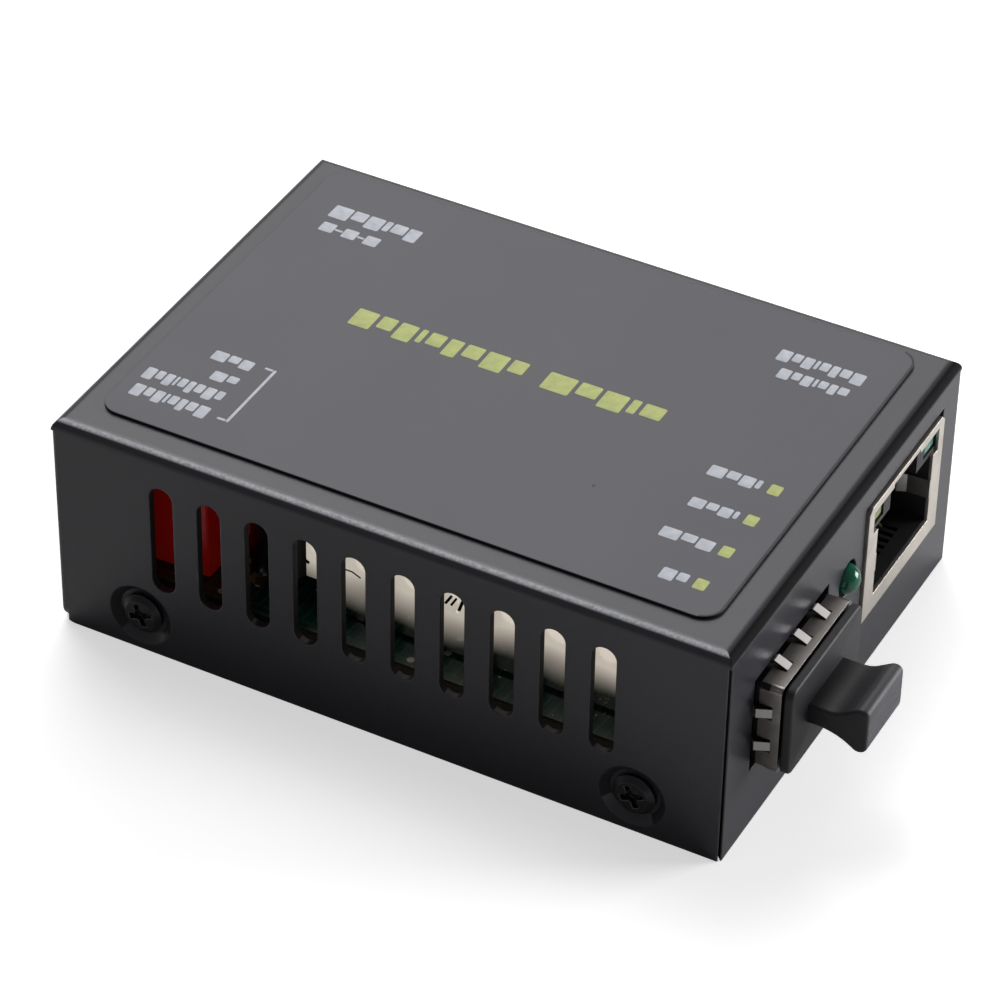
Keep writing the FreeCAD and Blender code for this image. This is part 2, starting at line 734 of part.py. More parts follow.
def make_small_parts():
    """The board's other parts, each its own piece."""
    top = D.board_top
    keep(block((-11.0, 6.0, top), (-6.1, 9.9, top + 1.5)), "settings_memory")
    crystal = block((-15.6, -0.8, top), (-4.6, 3.7, top + 3.4))
    keep(rounded(crystal, 2.0, is_upright), "crystal_can")
    regulator = block((-18.0, 8.0, top), (-11.8, 12.0, top + 1.6))
    tab = block((-19.6, 8.6, top), (-18.0, 11.4, top + 0.4))
    keep(joined([regulator, tab]), "voltage_regulator")

    coil_x, coil_y = -3.6, 18.2
    coil = block((coil_x - 3.3, coil_y - 3.3, top), (coil_x + 3.3, coil_y + 3.3, top + 3.2))
    keep(beveled(coil, 1.1, is_upright), "power_inductor")

    for label, x, y, radius, height in (("filter_capacitor", -16.3, -14.7, 3.15, 7.8),
                                        ("input_capacitor", -26.6, 5.6, 2.5, 7.0)):
        rim = 0.35
        sleeve = rod((x, y, top), radius, height - rim)
        shoulder = doc.addObject("Part::Cone", "Shoulder")
        bind(shoulder, "Radius1", radius)
        bind(shoulder, "Radius2", radius - rim)
        bind(shoulder, "Height", rim)
        place(shoulder, x, y, top + (height - rim))
        keep(joined([sleeve, shoulder]), label)

    chips = []
    places = [(-17.4, -19.2, 0), (-14.2, -5.6, 0), (-16.8, -5.6, 0), (-20.2, 3.0, 1), (10.4, 4.0, 1),
              (10.4, 7.2, 1), (10.4, 10.4, 1), (-8.2, 12.0, 0), (8.0, 14.8, 0), (1.2, 14.8, 0),
              (30.0, 1.9, 1), (21.4, 1.9, 1)]
    for x, y, upright in places:
        long_side, short_side = 1.6, 0.8
        size_x, size_y = (short_side, long_side) if upright else (long_side, short_side)
        chips.append(block((x, y, top), (x + size_x, y + size_y, top + 0.7)))
    group(chips, "chip_parts")


# ---------------------------------------------------------------- RJ45 jack
def socket_outline(sketch):
    """The socket opening in the plastic body, with its latch notch."""
    mid = D.jack_middle_y
    half, notch = D.socket_width / 2, D.notch_width / 2
    top = D.lamp_window_high
    outline(sketch, [
        (mid - half, D.socket_low), (mid + half, D.socket_low), (mid + half, D.socket_high),
        (mid + notch, D.socket_high), (mid + notch, top), (mid - notch, top),
        (mid - notch, D.socket_high), (mid - half, D.socket_high)])


def face_outline(sketch):
    """The one opening in the shield's face: socket, latch notch and both lamps together."""
    mid = D.jack_middle_y
    half, notch = D.socket_width / 2, D.notch_width / 2
    wide = D.lamp_offset + D.lamp_window / 2
    step, brow = D.socket_high, D.lamp_window_high
    outline(sketch, [
        (mid - half, D.socket_low), (mid + half, D.socket_low), (mid + half, step),
        (mid + wide, step), (mid + wide, brow), (mid + notch, brow), (mid + notch, D.notch_high),
        (mid - notch, D.notch_high), (mid - notch, brow), (mid - wide, brow),
        (mid - wide, step), (mid - half, step)])


def make_jack_shield():
    """The jack's metal shield: folded box, open below, its face pierced for socket and lamps."""
    body = new_body("rj45_shield")
    half = D.jack_width / 2
    mid = D.jack_middle_y
    main = new_sketch(body, "YZ_Plane", offset=D.jack_rear)
    rectangle(main, mid - half, D.board_top, mid + half, D.jack_high)
    pad(body, main, D.jack_face - D.jack_rear)
    lip = new_sketch(body, "YZ_Plane", offset=D.board_front + 0.1)
    rectangle(lip, mid - half, D.jack_low, mid + half, D.jack_high)
    pad(body, lip, D.jack_face - D.board_front - 0.1)
    fillet(body, 0.6, lambda e: edge_box(e).XLength > 1 and near(edge_box(e).ZMin, D.jack_high)
           and edge_box(e).YLength < 1e-6, "PartDesign::Chamfer", "Size")
    inside = new_sketch(body, "YZ_Plane", offset=D.jack_rear + D.jack_sheet)
    wall = half - D.jack_sheet
    rectangle(inside, mid - wall, D.board_top - 1, mid + wall, D.jack_high - D.jack_sheet)
    pocket(body, inside, D.board_front - D.jack_rear - D.jack_sheet + 0.1, back=True)
    front = new_sketch(body, "YZ_Plane", offset=D.board_front + 0.1)
    rectangle(front, mid - wall, D.jack_low + D.jack_sheet, mid + wall, D.jack_high - D.jack_sheet)
    pocket(body, front, D.jack_face - D.board_front - 0.1 - D.jack_sheet, back=True)
    face = new_sketch(body, "YZ_Plane", offset=D.jack_face)
    face_outline(face)
    pocket(body, face, D.jack_sheet + 0.1)
    tabs = new_sketch(body, "XY_Plane", offset=D.board_top - D.board_sheet - 0.8)
    for side in (-1, 1):
        low, high = sorted((wall * side, half * side), key=float)
        rectangle(tabs, SHIELD_TAB_X - 0.7, mid + low, SHIELD_TAB_X + 0.7, mid + high)
    pad(body, tabs, D.board_sheet + 1.2)
    return body


def make_jack_springs():
    """Two side springs of the shield that reach into the socket and touch a plug's shell."""
    items = []
    mid = float(D.jack_middle_y)
    wall = float(D.socket_width) / 2
    face = float(D.jack_face)
    for side in (-1, 1):
        points = [(face, wall), (face, wall - 0.15), (face - 2.3, wall - 0.25), (face - 3.2, wall - 0.65),
                  (face - 3.4, wall - 0.45), (face - 2.35, wall)]
        corners = [Vector(x, mid + side * y, 11.8) for x, y in points]
        wire = Part.makePolygon(corners + corners[:1])
        spring = doc.addObject("Part::Feature", "Spring")
        spring.Shape = Part.Face(wire).extrude(Vector(0, 0, 2.1))
        items.append(spring)
    group(items, "rj45_ground_springs")


def make_jack_housing():
    """The jack's plastic body: stepped socket, lamp channels and the contacts' comb."""
    body = new_body("rj45_housing")
    slack = 0.02
    half = D.jack_width / 2 - D.jack_sheet - slack
    mid = D.jack_middle_y
    rear = D.jack_rear + D.jack_sheet + slack
    front = D.jack_face - D.jack_sheet - slack
    ceiling = D.jack_high - D.jack_sheet - slack
    main = new_sketch(body, "YZ_Plane", offset=rear)
    rectangle(main, mid - half, D.board_top, mid + half, ceiling)
    pad(body, main, front - rear)
    lip = new_sketch(body, "YZ_Plane", offset=D.board_front + 0.15)
    rectangle(lip, mid - half, D.jack_low + D.jack_sheet + slack, mid + half, D.board_top + 1)
    pad(body, lip, front - D.board_front - 0.15)
    socket = new_sketch(body, "YZ_Plane", offset=front)
    socket_outline(socket)
    pocket(body, socket, D.socket_depth)
    lamps = new_sketch(body, "YZ_Plane", offset=front)
    for side in (-1, 1):
        centre = mid + D.lamp_offset * side
        lamp = D.lamp_window / 2
        rectangle(lamps, centre - lamp, D.lamp_window_low, centre + lamp, D.lamp_window_high)
    pocket(body, lamps, 9.0)
    grooves = new_sketch(body, "YZ_Plane", offset=front - 1.6)
    for i in range(8):
        groove = mid + 1.02 * (i - 3.5)
        rectangle(grooves, groove - 0.28, D.socket_low - 0.7, groove + 0.28, D.socket_low + 0.3)
    pocket(body, grooves, D.socket_depth - 1.6)
    return body


def make_jack_contacts():
    """Eight contact wires: out of the comb's grooves and back over the socket's floor."""
    items = []
    thick, width = 0.3, 0.36
    front = float(D.jack_face) - 3.4
    floor = float(D.socket_low) - 0.68
    for i in range(8):
        middle = float(D.jack_middle_y) + 1.02 * (i - 3.5)
        run = [(front - 11.3, floor), (front - 0.6, floor), (front, floor + 0.45),
               (front - 0.8, floor + 1.1), (front - 8.6, floor + 3.6)]
        back = [(front - 8.7, floor + 3.6 - thick), (front - 0.95, floor + 1.1 - thick),
                (front - 0.42, floor + 0.5), (front - 0.75, floor + thick), (front - 11.3, floor + thick)]
        corners = [Vector(x, middle - width / 2, z) for x, z in run + back]
        face = Part.Face(Part.makePolygon(corners + corners[:1]))
        wire = doc.addObject("Part::Feature", "Contact")
        wire.Shape = face.extrude(Vector(0, width, 0))
        items.append(wire)
    group(items, "rj45_contacts")


def make_jack_lamps():
    """The two indicator lamps in the jack's upper corners, their faces set back a little."""
    slack = 0.05
    front = D.jack_face - D.jack_sheet - 0.1
    for label, side in (("rj45_lamp_yellow", -1), ("rj45_lamp_green", 1)):
        centre = D.jack_middle_y + D.lamp_offset * side
        half = D.lamp_window / 2 - slack
        lamp = block((front - 8.0, centre - half, D.lamp_window_low + slack),
                     (front, centre + half, D.lamp_window_high - slack))
        face = float(front)
        keep(beveled(lamp, 0.4, lambda e, face=face: near(edge_box(e).XMin, face)), label)


# ---------------------------------------------------------------- SFP cage
CAGE_LOW_Z = D.cage_middle_z - D.cage_height / 2
CAGE_HIGH_Z = D.cage_middle_z + D.cage_height / 2


def make_cage_cover():
    """The cage's upper piece: top, two sides and a rear wall, with press-in pins below."""
    body = new_body("sfp_cage_cover")
    mid = D.cage_middle_y
    half = D.cage_width / 2
    low = CAGE_LOW_Z + D.cage_wall
    outer = new_sketch(body, "YZ_Plane", offset=D.cage_rear)
    rectangle(outer, mid - half, low, mid + half, CAGE_HIGH_Z)
    pad(body, outer, D.cage_mouth - D.cage_rear)
    fillet(body, 0.45, lambda e: edge_box(e).XLength > 1 and near(edge_box(e).ZMin, CAGE_HIGH_Z))
    inner = new_sketch(body, "YZ_Plane", offset=D.cage_rear + D.cage_wall)
    wall = half - D.cage_wall
    rectangle(inner, mid - wall, low - 1, mid + wall, CAGE_HIGH_Z - D.cage_wall)
    pocket(body, inner, D.cage_mouth - D.cage_rear + 1, back=True)

    host_gap = new_sketch(body, "XZ_Plane", offset=-(mid - half) + 1)
    rectangle(host_gap, D.cage_rear - 1, low - 1, D.cage_rear + 1.3, low + 2.9)
    pocket(body, host_gap, D.cage_width + 2, back=False)

    pins = new_sketch(body, "XZ_Plane", offset=-mid)
    pin_half = 0.42
    pin_low = D.board_top - D.board_sheet - 0.8
    for x in CAGE_PIN_X:
        outline(pins, [(x - pin_half, low + 0.4), (x - pin_half, pin_low + 0.5), (x, pin_low),
                       (x + pin_half, pin_low + 0.5), (x + pin_half, low + 0.4)])
    pad(body, pins, D.cage_width, both=True)
    between = new_sketch(body, "XY_Plane", offset=low + 0.45)
    rectangle(between, D.cage_rear + D.cage_wall, mid - wall, D.cage_mouth - 0.2, mid + wall)
    pocket(body, between, 6.0)

    lances = new_sketch(body, "XZ_Plane", offset=-(mid - half))
    for x in (4.6, 5.6):
        outline(lances, [(x, 12.7), (x + 0.4, 12.7), (x + 0.9, 14.3), (x + 0.5, 14.3)])
    pocket(body, lances, D.cage_wall + 0.1, back=False)
    return body


def make_cage_tray():
    """The cage's lower piece: the floor with low side strips that clip inside the cover."""
    body = new_body("sfp_cage_tray")
    mid = D.cage_middle_y
    half = D.cage_width / 2 - D.cage_wall - 0.02
    profile = new_sketch(body, "YZ_Plane", offset=D.cage_rear + 12.4)
    low, wall = CAGE_LOW_Z, 0.25
    strip = low + 2.2
    outline(profile, [
        (mid - half, low), (mid + half, low), (mid + half, strip), (mid + half - wall, strip),
        (mid + half - wall, low + wall), (mid - half + wall, low + wall), (mid - half + wall, strip),
        (mid - half, strip)])
    pad(body, profile, D.cage_mouth - D.cage_rear - 12.4)
    latch = new_sketch(body, "XY_Plane", offset=low + wall)
    outline(latch, [(33.6, mid - 1.5), (33.6, mid + 1.5), (31.0, mid)])
    pocket(body, latch, wall + 0.2)
    relief = new_sketch(body, "XZ_Plane", offset=-(mid - half) + 1)
    for x in CAGE_PIN_X[:3]:
        rectangle(relief, x - 0.6, low + 0.6, x + 0.6, strip + 0.5)
    pocket(body, relief, D.cage_width + 2)
    return body


def make_spring_collar():
    """The spring collar round the cage's mouth: one strip, slit into fingers that bulge out
    towards the case, with the sheet between them left flat and the corners slit."""
    body = new_body("sfp_spring_collar")
    mid_y, mid_z = D.cage_middle_y, D.cage_middle_z
    half_y = D.cage_width / 2 + D.collar_sheet
    half_z = D.cage_height / 2 + D.collar_sheet
    ring = new_sketch(body, "YZ_Plane", offset=D.collar_back)
    rectangle(ring, mid_y - half_y, mid_z - half_z, mid_y + half_y, mid_z + half_z)
    pad(body, ring, D.collar_front - D.collar_back)
    fillet(body, 0.65, lambda e: edge_box(e).XLength > 1)
    hollow = new_sketch(body, "YZ_Plane", offset=D.collar_back)
    slack = 0.01
    inner_y = D.cage_width / 2 + slack
    inner_z = D.cage_height / 2 + slack
    rectangle(hollow, mid_y - inner_y, mid_z - inner_z, mid_y + inner_y, mid_z + inner_z)
    pocket(body, hollow, D.cage_mouth - D.collar_back + 0.02, back=True)
    mouth = new_sketch(body, "YZ_Plane", offset=D.collar_front)
    lip = 0.35
    rectangle(mouth, mid_y - inner_y + lip, mid_z - inner_z + lip, mid_y + inner_y - lip,
              mid_z + inner_z - lip)
    pocket(body, mouth, D.collar_front - D.cage_mouth + 0.1)

    window = D.finger_width / 2 + D.finger_slit
    root, back = D.finger_root, D.collar_back - 1
    across = [mid_y + D.finger_pitch * (i - (FINGERS_ACROSS - 1) / 2) for i in range(FINGERS_ACROSS)]
    upward = [mid_z + D.side_finger_pitch * (i - (FINGERS_UP - 1) / 2) for i in range(FINGERS_UP)]
    flat_slits = new_sketch(body, "XY_Plane")
    for y in across:
        rectangle(flat_slits, back, y - window, root, y + window)
    pocket(body, flat_slits, D.case_height * 2, both=True)
    side_slits = new_sketch(body, "XZ_Plane")
    for z in upward:
        rectangle(side_slits, back, z - window, root, z + window)
    pocket(body, side_slits, D.case_width, both=True)
    notch_height = 0.5
    for direction in (1, -1):
        level = mid_z + (half_z - notch_height) * direction
        cut = new_sketch(body, "XY_Plane", offset=level)
        for side in (-1, 1):
            edge = mid_y + half_y * side
            outline(cut, [(back, edge + side), (D.finger_root - 0.4, edge + side),
                          (D.finger_root - 0.4, edge - notch_height * side),
                          (back, edge - notch_height * side)])
        pocket(body, cut, 2.0, back=direction > 0)
    body_fingers(body, across, upward)
    return body


def body_fingers(body, across, upward):
    """Add the bulging fingers: a bent strip each, drawn from the side."""
    thick = D.collar_sheet
    rise, crest, root = D.finger_rise, D.finger_crest, D.finger_root
    tail = D.finger_tail
    mid_y, mid_z = D.cage_middle_y, D.cage_middle_z
    half_y = D.cage_width / 2 + D.collar_sheet
    half_z = D.cage_height / 2 + D.collar_sheet
    for direction in (-1, 1):
        for y in across:
            strip = new_sketch(body, "XZ_Plane", offset=-y)
            face = mid_z + half_z * direction
            outline(strip, finger_outline(face, direction, thick, rise, crest, root, tail))
            pad(body, strip, D.finger_width, both=True)
        for z in upward:
            strip = new_sketch(body, "XY_Plane", offset=z)
            face = mid_y + half_y * direction
            outline(strip, finger_outline(face, direction, thick, rise, crest, root, tail))
            pad(body, strip, D.finger_width, both=True)


def finger_outline(face, direction, thick, rise, crest, root, tail):
    """A finger's section: flat root, ramp up to the crest, then down behind it."""
    return [(root + 0.3, face), (root, face), (crest, face + rise * direction),
            (tail, face + 0.12 * direction), (tail, face + (0.12 - thick) * direction),
            (crest, face + (rise - thick) * direction), (root, face - thick * direction),
            (root + 0.3, face - thick * direction)]


def make_host_connector():
    """The connector at the cage's rear end that a module's card edge enters."""
    top = D.board_top
    mid = D.cage_middle_y
    front, rear = 0.8, -8.0
    body = block((rear, mid - 5.6, top), (front, mid + 5.6, top + 5.4))
    card_slot = block((front - 5.0, mid - 4.7, top + 3.1), (front + 1, mid + 4.7, top + 4.4))
    chin = block((front - 1.6, mid - 6, top - 1), (front + 1, mid + 6, top + 1.6))
    keep(without(body, [card_slot, chin]), "sfp_connector")
    contacts = []
    for i in range(10):
        y = mid + 0.8 * (i - 4.5)
        for low in (top + 3.1, top + 4.22):
            contacts.append(block((front - 4.6, y - 0.16, low), (front - 0.6, y + 0.16, low + 0.18)))
        contacts.append(block((rear - 0.9, y - 0.16, top), (rear, y + 0.16, top + 0.2)))
    group(contacts, "sfp_connector_contacts")


# ---------------------------------------------------------------- dust plug
def make_dust_plug():
    """The rubber dust plug: a block in the cage, a flange over its mouth and a waisted grip."""
    body = new_body("dust_plug")
    mid_y, mid_z = D.cage_middle_y, D.cage_middle_z
    inner_y = D.cage_width / 2 - D.cage_wall - D.plug_clearance - 0.27
    inner_z = D.cage_height / 2 - D.cage_wall - D.plug_clearance
    flange_back = D.collar_front + 0.22
    flange_front = flange_back + D.flange_sheet
    block_sketch = new_sketch(body, "YZ_Plane", offset=flange_back - D.plug_reach)
    rectangle(block_sketch, mid_y - inner_y, mid_z - inner_z, mid_y + inner_y, mid_z + inner_z)
    pad(body, block_sketch, D.plug_reach + 0.5)
    fillet(body, 0.9, lambda e: edge_box(e).XLength > 1)
    start = float(flange_back) - float(D.plug_reach)
    fillet(body, 0.5, lambda e: near(edge_box(e).XMax, start), "PartDesign::Chamfer", "Size")
    hollow = new_sketch(body, "YZ_Plane", offset=flange_back - D.plug_reach)
    rectangle(hollow, mid_y - inner_y + 1.6, mid_z - inner_z + 1.6, mid_y + inner_y - 1.6,
              mid_z + inner_z - 1.6)
    pocket(body, hollow, D.plug_reach - 1.5, back=True)

    half_y = D.cage_width / 2 + D.collar_sheet
    half_z = D.cage_height / 2 + D.collar_sheet
    flange = new_sketch(body, "YZ_Plane", offset=flange_back)
    corner = 1.0
    low_y, high_y, low_z, high_z = mid_y - half_y, mid_y + half_y, mid_z - half_z, mid_z + half_z
    arc = Size(corner, "1.0")
    outline(flange, [
        (low_y + corner, low_z), (high_y - corner, low_z, arc), (high_y, low_z + corner),
        (high_y, high_z - corner, arc), (high_y - corner, high_z), (low_y + corner, high_z, arc),
        (low_y, high_z - corner), (low_y, low_z + corner, arc)])
    pad(body, flange, D.flange_sheet)
    front = float(flange_front)
    fillet(body, 0.2, lambda e: near(edge_box(e).XMin, front) and near(edge_box(e).XMax, front),
           "PartDesign::Chamfer", "Size")

    grip = new_sketch(body, "XZ_Plane", offset=-mid_y)
    outline(grip, grip_outline(flange_front, mid_z + 0.05))
    pad(body, grip, D.grip_width, both=True)
    return body


def grip_outline(root, level):
    """The grip's side view: a flat neck that flares in two hollow curves into a thick end bar,
    with two shallow grooves across its outer face."""
    neck, bar, end = D.neck_half, D.bar_half, D.grip_end
    slope = math.radians(33)
    rise, run = math.sin(slope), math.cos(slope)
    sweep, lower_sweep = 3.0, 6.0
    crown, toe, nose = 0.7, 1.0, 0.85
    groove, groove_depth, groove_place = 0.14, 0.1, 0.6

    # lower side, from the flange outwards: hollow curve, short ramp, round nose
    nose_x, nose_z = end - nose, -bar + nose
    ramp_x, ramp_z = nose_x - nose * rise, nose_z - nose * run
    hollow_z = -neck - lower_sweep * (1 - run)
    hollow_x = ramp_x - (hollow_z - ramp_z) * (run / rise)
    points = [(root - 0.2, level - neck),
              (hollow_x - lower_sweep * rise, level - neck, -lower_sweep),
              (hollow_x, level + hollow_z), (ramp_x, level + ramp_z, nose), (end, level + nose_z)]
    for place_z in (-groove_place, groove_place):
        points.append((end, level + (place_z - groove)))
        points.append((end - groove_depth, level + place_z))
        points.append((end, level + (place_z + groove)))
    # upper side, back to the flange: crown, toe, ramp, hollow curve
    toe_x, toe_z = end - crown, bar - toe
    slope_x, slope_z = toe_x - toe * rise, toe_z + toe * run
    valley_z = neck + sweep * (1 - run)
    valley_x = slope_x - (slope_z - valley_z) * (run / rise)
    points += [(end, level + (bar - crown), crown), (end - crown, level + bar, toe),
               (slope_x, level + slope_z), (valley_x, level + valley_z, -sweep),
               (valley_x - sweep * rise, level + neck), (root - 0.2, level + neck)]
    return points


# ---------------------------------------------------------------- status lamp
def make_status_lamp():
    """The status lamp: a dome lens on its foot, and two bent leads down to the board."""
    y, z, radius = D.status_y, D.status_z, D.status_radius
    dome_x = HALF_LENGTH - 0.25
    foot_x = dome_x - 3.6
    parts = [rod((foot_x, y, z), radius, dome_x - foot_x, axis="x"),
             rod((foot_x, y, z), radius + 0.4, 1.0, axis="x")]
    levels = [math.radians(a) for a in (0, 28, 56, 84)]
    for low, high in zip(levels, levels[1:]):
        band = doc.addObject("Part::Cone", "Band")
        bind(band, "Radius1", radius * math.cos(low))
        bind(band, "Radius2", radius * math.cos(high))
        bind(band, "Height", radius * (math.sin(high) - math.sin(low)))
        place(band, dome_x + radius * math.sin(low), y, z, axis=Vector(0, 1, 0), angle=90)
        parts.append(band)
    keep(joined(parts), "status_lamp")
    leads = []
    for side in (-1, 1):
        lead_y = y + 1.27 * side
        bend_x = foot_x - 1.6
        level = block((bend_x, lead_y - 0.25, z - 0.25), (foot_x, lead_y + 0.25, z + 0.25))
        drop = block((bend_x, lead_y - 0.25, D.board_top - 0.0), (bend_x + 0.5, lead_y + 0.25, z + 0.1))
        leads.append(joined([level, drop]))
    group(leads, "status_lamp_leads")


# ---------------------------------------------------------------- power socket
def make_power_socket():
    """The barrel socket: moulded block with a round nose, its pin and its solder lugs."""
    body = new_body("power_socket")
    inner_wall = -HALF_LENGTH + D.cover_sheet + 0.05
    main = new_sketch(body, "YZ_Plane", offset=inner_wall)
    rectangle(main, D.power_y - 4.5, D.board_top, D.power_y + 4.5, D.power_z + 4.6)
    pad(body, main, 13.6)
    fillet(body, 0.6, lambda e: edge_box(e).XLength > 1 and near(edge_box(e).ZMin, D.power_z + 4.6))
    nose = new_sketch(body, "YZ_Plane", offset=-HALF_LENGTH + 0.05)
    circle(nose, D.power_y, D.power_z, D.power_nose)
    pad(body, nose, D.cover_sheet + 1)
    bore = new_sketch(body, "YZ_Plane", offset=-HALF_LENGTH - 1)
    circle(bore, D.power_y, D.power_z, D.power_bore)
    pocket(body, bore, D.power_depth + 1, back=True)

    tail = -HALF_LENGTH + D.power_depth
    pin = rod((-HALF_LENGTH + 0.9, D.power_y, D.power_z), D.power_pin, D.power_depth - 0.9, axis="x")
    tip = float(-HALF_LENGTH + 0.9)
    keep(beveled(pin, 0.45, lambda e: near(edge_box(e).XMax, tip) and edge_box(e).YLength > 1),
         "power_socket_pin")
    rear = inner_wall + 13.6
    rear_lug = block((rear, D.power_y - 1.5, D.board_top), (rear + 0.4, D.power_y + 1.5, D.power_z))
    side_lug = block((tail - 4.0, D.power_y - 4.9, D.board_top),
                     (tail - 1.5, D.power_y - 4.5, D.board_top + 3.4))
    group([rear_lug, side_lug], "power_socket_lugs")


# ---------------------------------------------------------------- option switches
PIVOT_X = D.switch_low_x + 1.7
PIVOT_Z = D.board_top + 5.0


def lever_places():
    """The middle of each lever along Y."""
    return [D.switch_middle_y + D.lever_pitch * (i - (LEVER_COUNT - 1) / 2) for i in range(LEVER_COUNT)]


def make_switch_block():
    """The switch block: one moulding with a well for each lever, and its pins."""
    low_y = D.switch_middle_y - D.switch_width / 2
    high_y = D.switch_middle_y + D.switch_width / 2
    case = block((D.switch_low_x, low_y, D.board_top + 0.4), (D.switch_high_x, high_y, D.switch_top))
    soft = rounded(case, 0.3, is_upright)
    wells = []
    for y in lever_places():
        wells.append(block((D.switch_low_x - 1, y - 0.85, PIVOT_Z - 2.3),
                           (PIVOT_X + 1.7, y + 0.85, PIVOT_Z + 2.3)))
    keep(without(soft, wells), "switch_block")
    pins = []
    for y in lever_places():
        for x in (D.switch_low_x + 2.0, D.switch_high_x - 0.9):
            pins.append(block((x - 0.25, y - 0.3, D.board_top), (x + 0.25, y + 0.3, D.board_top + 0.4)))
    group(pins, "switch_block_pins")


def make_levers():
    """Four rocker levers, each tilted up against its upper stop."""
    hub = rod((PIVOT_X, -0.7, PIVOT_Z), 1.3, 1.4, axis="y")
    tip_x = -HALF_LENGTH + 0.2
    tongue = block((tip_x, -0.6, PIVOT_Z - 0.75), (PIVOT_X, 0.6, PIVOT_Z + 0.75))
    tip = float(tip_x)
    soft = beveled(tongue, 0.4, lambda e: near(edge_box(e).XMax, tip) and edge_box(e).YLength > 0.5)
    level = joined([hub, soft])
    doc.recompute()
    pivot = Vector(float(PIVOT_X), 0, float(PIVOT_Z))
    tilt = FreeCAD.Rotation(Vector(0, 1, 0), float(D.lever_tilt))
    for number, y in enumerate(lever_places(), start=1):
        keep(copy_of(level.Shape, tilt, Vector(0, float(y), 0), pivot), f"option_lever_{number}")


# ---------------------------------------------------------------- build, check, write
def check_everything():
    """Stop on any object that failed and any sub-part whose shape is missing or unsound."""
    doc.recompute()
    for item in doc.Objects:
        if "Invalid" in item.State or "Error" in item.State:
            raise RuntimeError(f"{item.Label} ({item.TypeId}) is {item.State}")
    for label, node in PARTS.items():
        shape = node.Shape
        if shape.isNull() or not shape.isValid() or not shape.Solids:
            raise RuntimeError(f"{label} has no sound shape")


def write_parts():
    """One STEP file for each sub-part."""
    os.makedirs("parts", exist_ok=True)
    for label, node in PARTS.items():
        node.Shape.exportStep(f"parts/{label}.step")
        box = node.Shape.BoundBox
        print(f"{label:24s} solids {len(node.Shape.Solids):3d}  volume {node.Shape.Volume:9.2f}  "
              f"x {box.XMin:7.2f} {box.XMax:7.2f}  y {box.YMin:7.2f} {box.YMax:7.2f}  "
              f"z {box.ZMin:6.2f} {box.ZMax:6.2f}")


make_top_cover()
make_base_plate()
make_face_label()
make_screws()
make_standoffs()
make_board()
make_converter_chip()
make_small_parts()
make_jack_shield()
make_jack_springs()
make_jack_housing()
make_jack_contacts()
make_jack_lamps()
make_cage_cover()
make_cage_tray()
make_spring_collar()
make_host_connector()
make_dust_plug()
make_status_lamp()
make_power_socket()
make_switch_block()
make_levers()
check_everything()
write_parts()
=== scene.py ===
"""Fibre media converter: finishes, printed label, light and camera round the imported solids.

Lengths are millimetres in the tables and in the shape functions, and metres in the meshes.
Every piece keeps its place in its mesh, and its object stays at the origin.
"""
import math

import bmesh
import bpy
import numpy as np
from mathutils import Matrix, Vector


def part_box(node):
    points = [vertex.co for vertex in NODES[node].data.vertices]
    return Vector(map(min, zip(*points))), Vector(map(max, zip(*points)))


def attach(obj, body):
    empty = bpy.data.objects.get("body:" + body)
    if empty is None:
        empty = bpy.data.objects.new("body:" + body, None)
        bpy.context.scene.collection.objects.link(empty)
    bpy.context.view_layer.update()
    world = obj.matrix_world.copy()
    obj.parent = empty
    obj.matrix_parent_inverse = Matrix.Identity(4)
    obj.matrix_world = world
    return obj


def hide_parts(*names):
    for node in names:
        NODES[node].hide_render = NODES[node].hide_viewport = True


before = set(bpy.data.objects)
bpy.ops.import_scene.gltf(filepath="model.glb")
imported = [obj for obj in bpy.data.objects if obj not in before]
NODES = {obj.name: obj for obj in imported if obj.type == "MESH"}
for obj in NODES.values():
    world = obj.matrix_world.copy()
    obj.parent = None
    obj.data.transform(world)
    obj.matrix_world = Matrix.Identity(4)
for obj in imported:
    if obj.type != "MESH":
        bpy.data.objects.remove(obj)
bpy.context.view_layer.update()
MM = 0.001


def box_mm(node):
    """A solid's low and high corner in millimetres."""
    return [[c / MM for c in corner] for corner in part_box(node)]


def tone(red, green, blue):
    """An sRGB colour, 0 to 255 a channel, as the linear colour that shaders take."""
    share = [c / 255 for c in (red, green, blue)]
    linear = [c / 12.92 if c <= 0.04045 else ((c + 0.055) / 1.055) ** 2.4 for c in share]
    return (*linear, 1.0)


# ---------------------------------------------------------------- camera
def aim_camera():
    """A long lens, looking down on the port end and the long -Y side."""
    data = bpy.data.cameras.new("camera")
    data.lens = 160.3
    data.sensor_width = 36
    data.clip_start = 0.01
    camera = bpy.data.objects.new("camera", data)
    camera.location = (0.15221, -0.29439, 0.27528)
    camera.rotation_euler = [math.radians(a) for a in (51.393, -0.861, 28.183)]
    bpy.context.scene.collection.objects.link(camera)
    bpy.context.scene.camera = camera


# ---------------------------------------------------------------- shader maths
def feed(tree, slot, value):
    """Give an input a link or a plain value."""
    if isinstance(value, Wire):
        tree.links.new(value.socket, slot)
    else:
        slot.default_value = value


def add_node(tree, kind, sockets=(), settings=(), output=0):
    """A node of any kind: its settings first, then its inputs by name or number. Returns the wire
    of one of its outputs, or nothing from a node that has none."""
    node = tree.nodes.new(kind)
    for name, value in dict(settings).items():
        setattr(node, name, value)
    for key, value in dict(sockets).items():
        feed(tree, node.inputs[key], value)
    return Wire(tree, node.outputs[output]) if len(node.outputs) else None


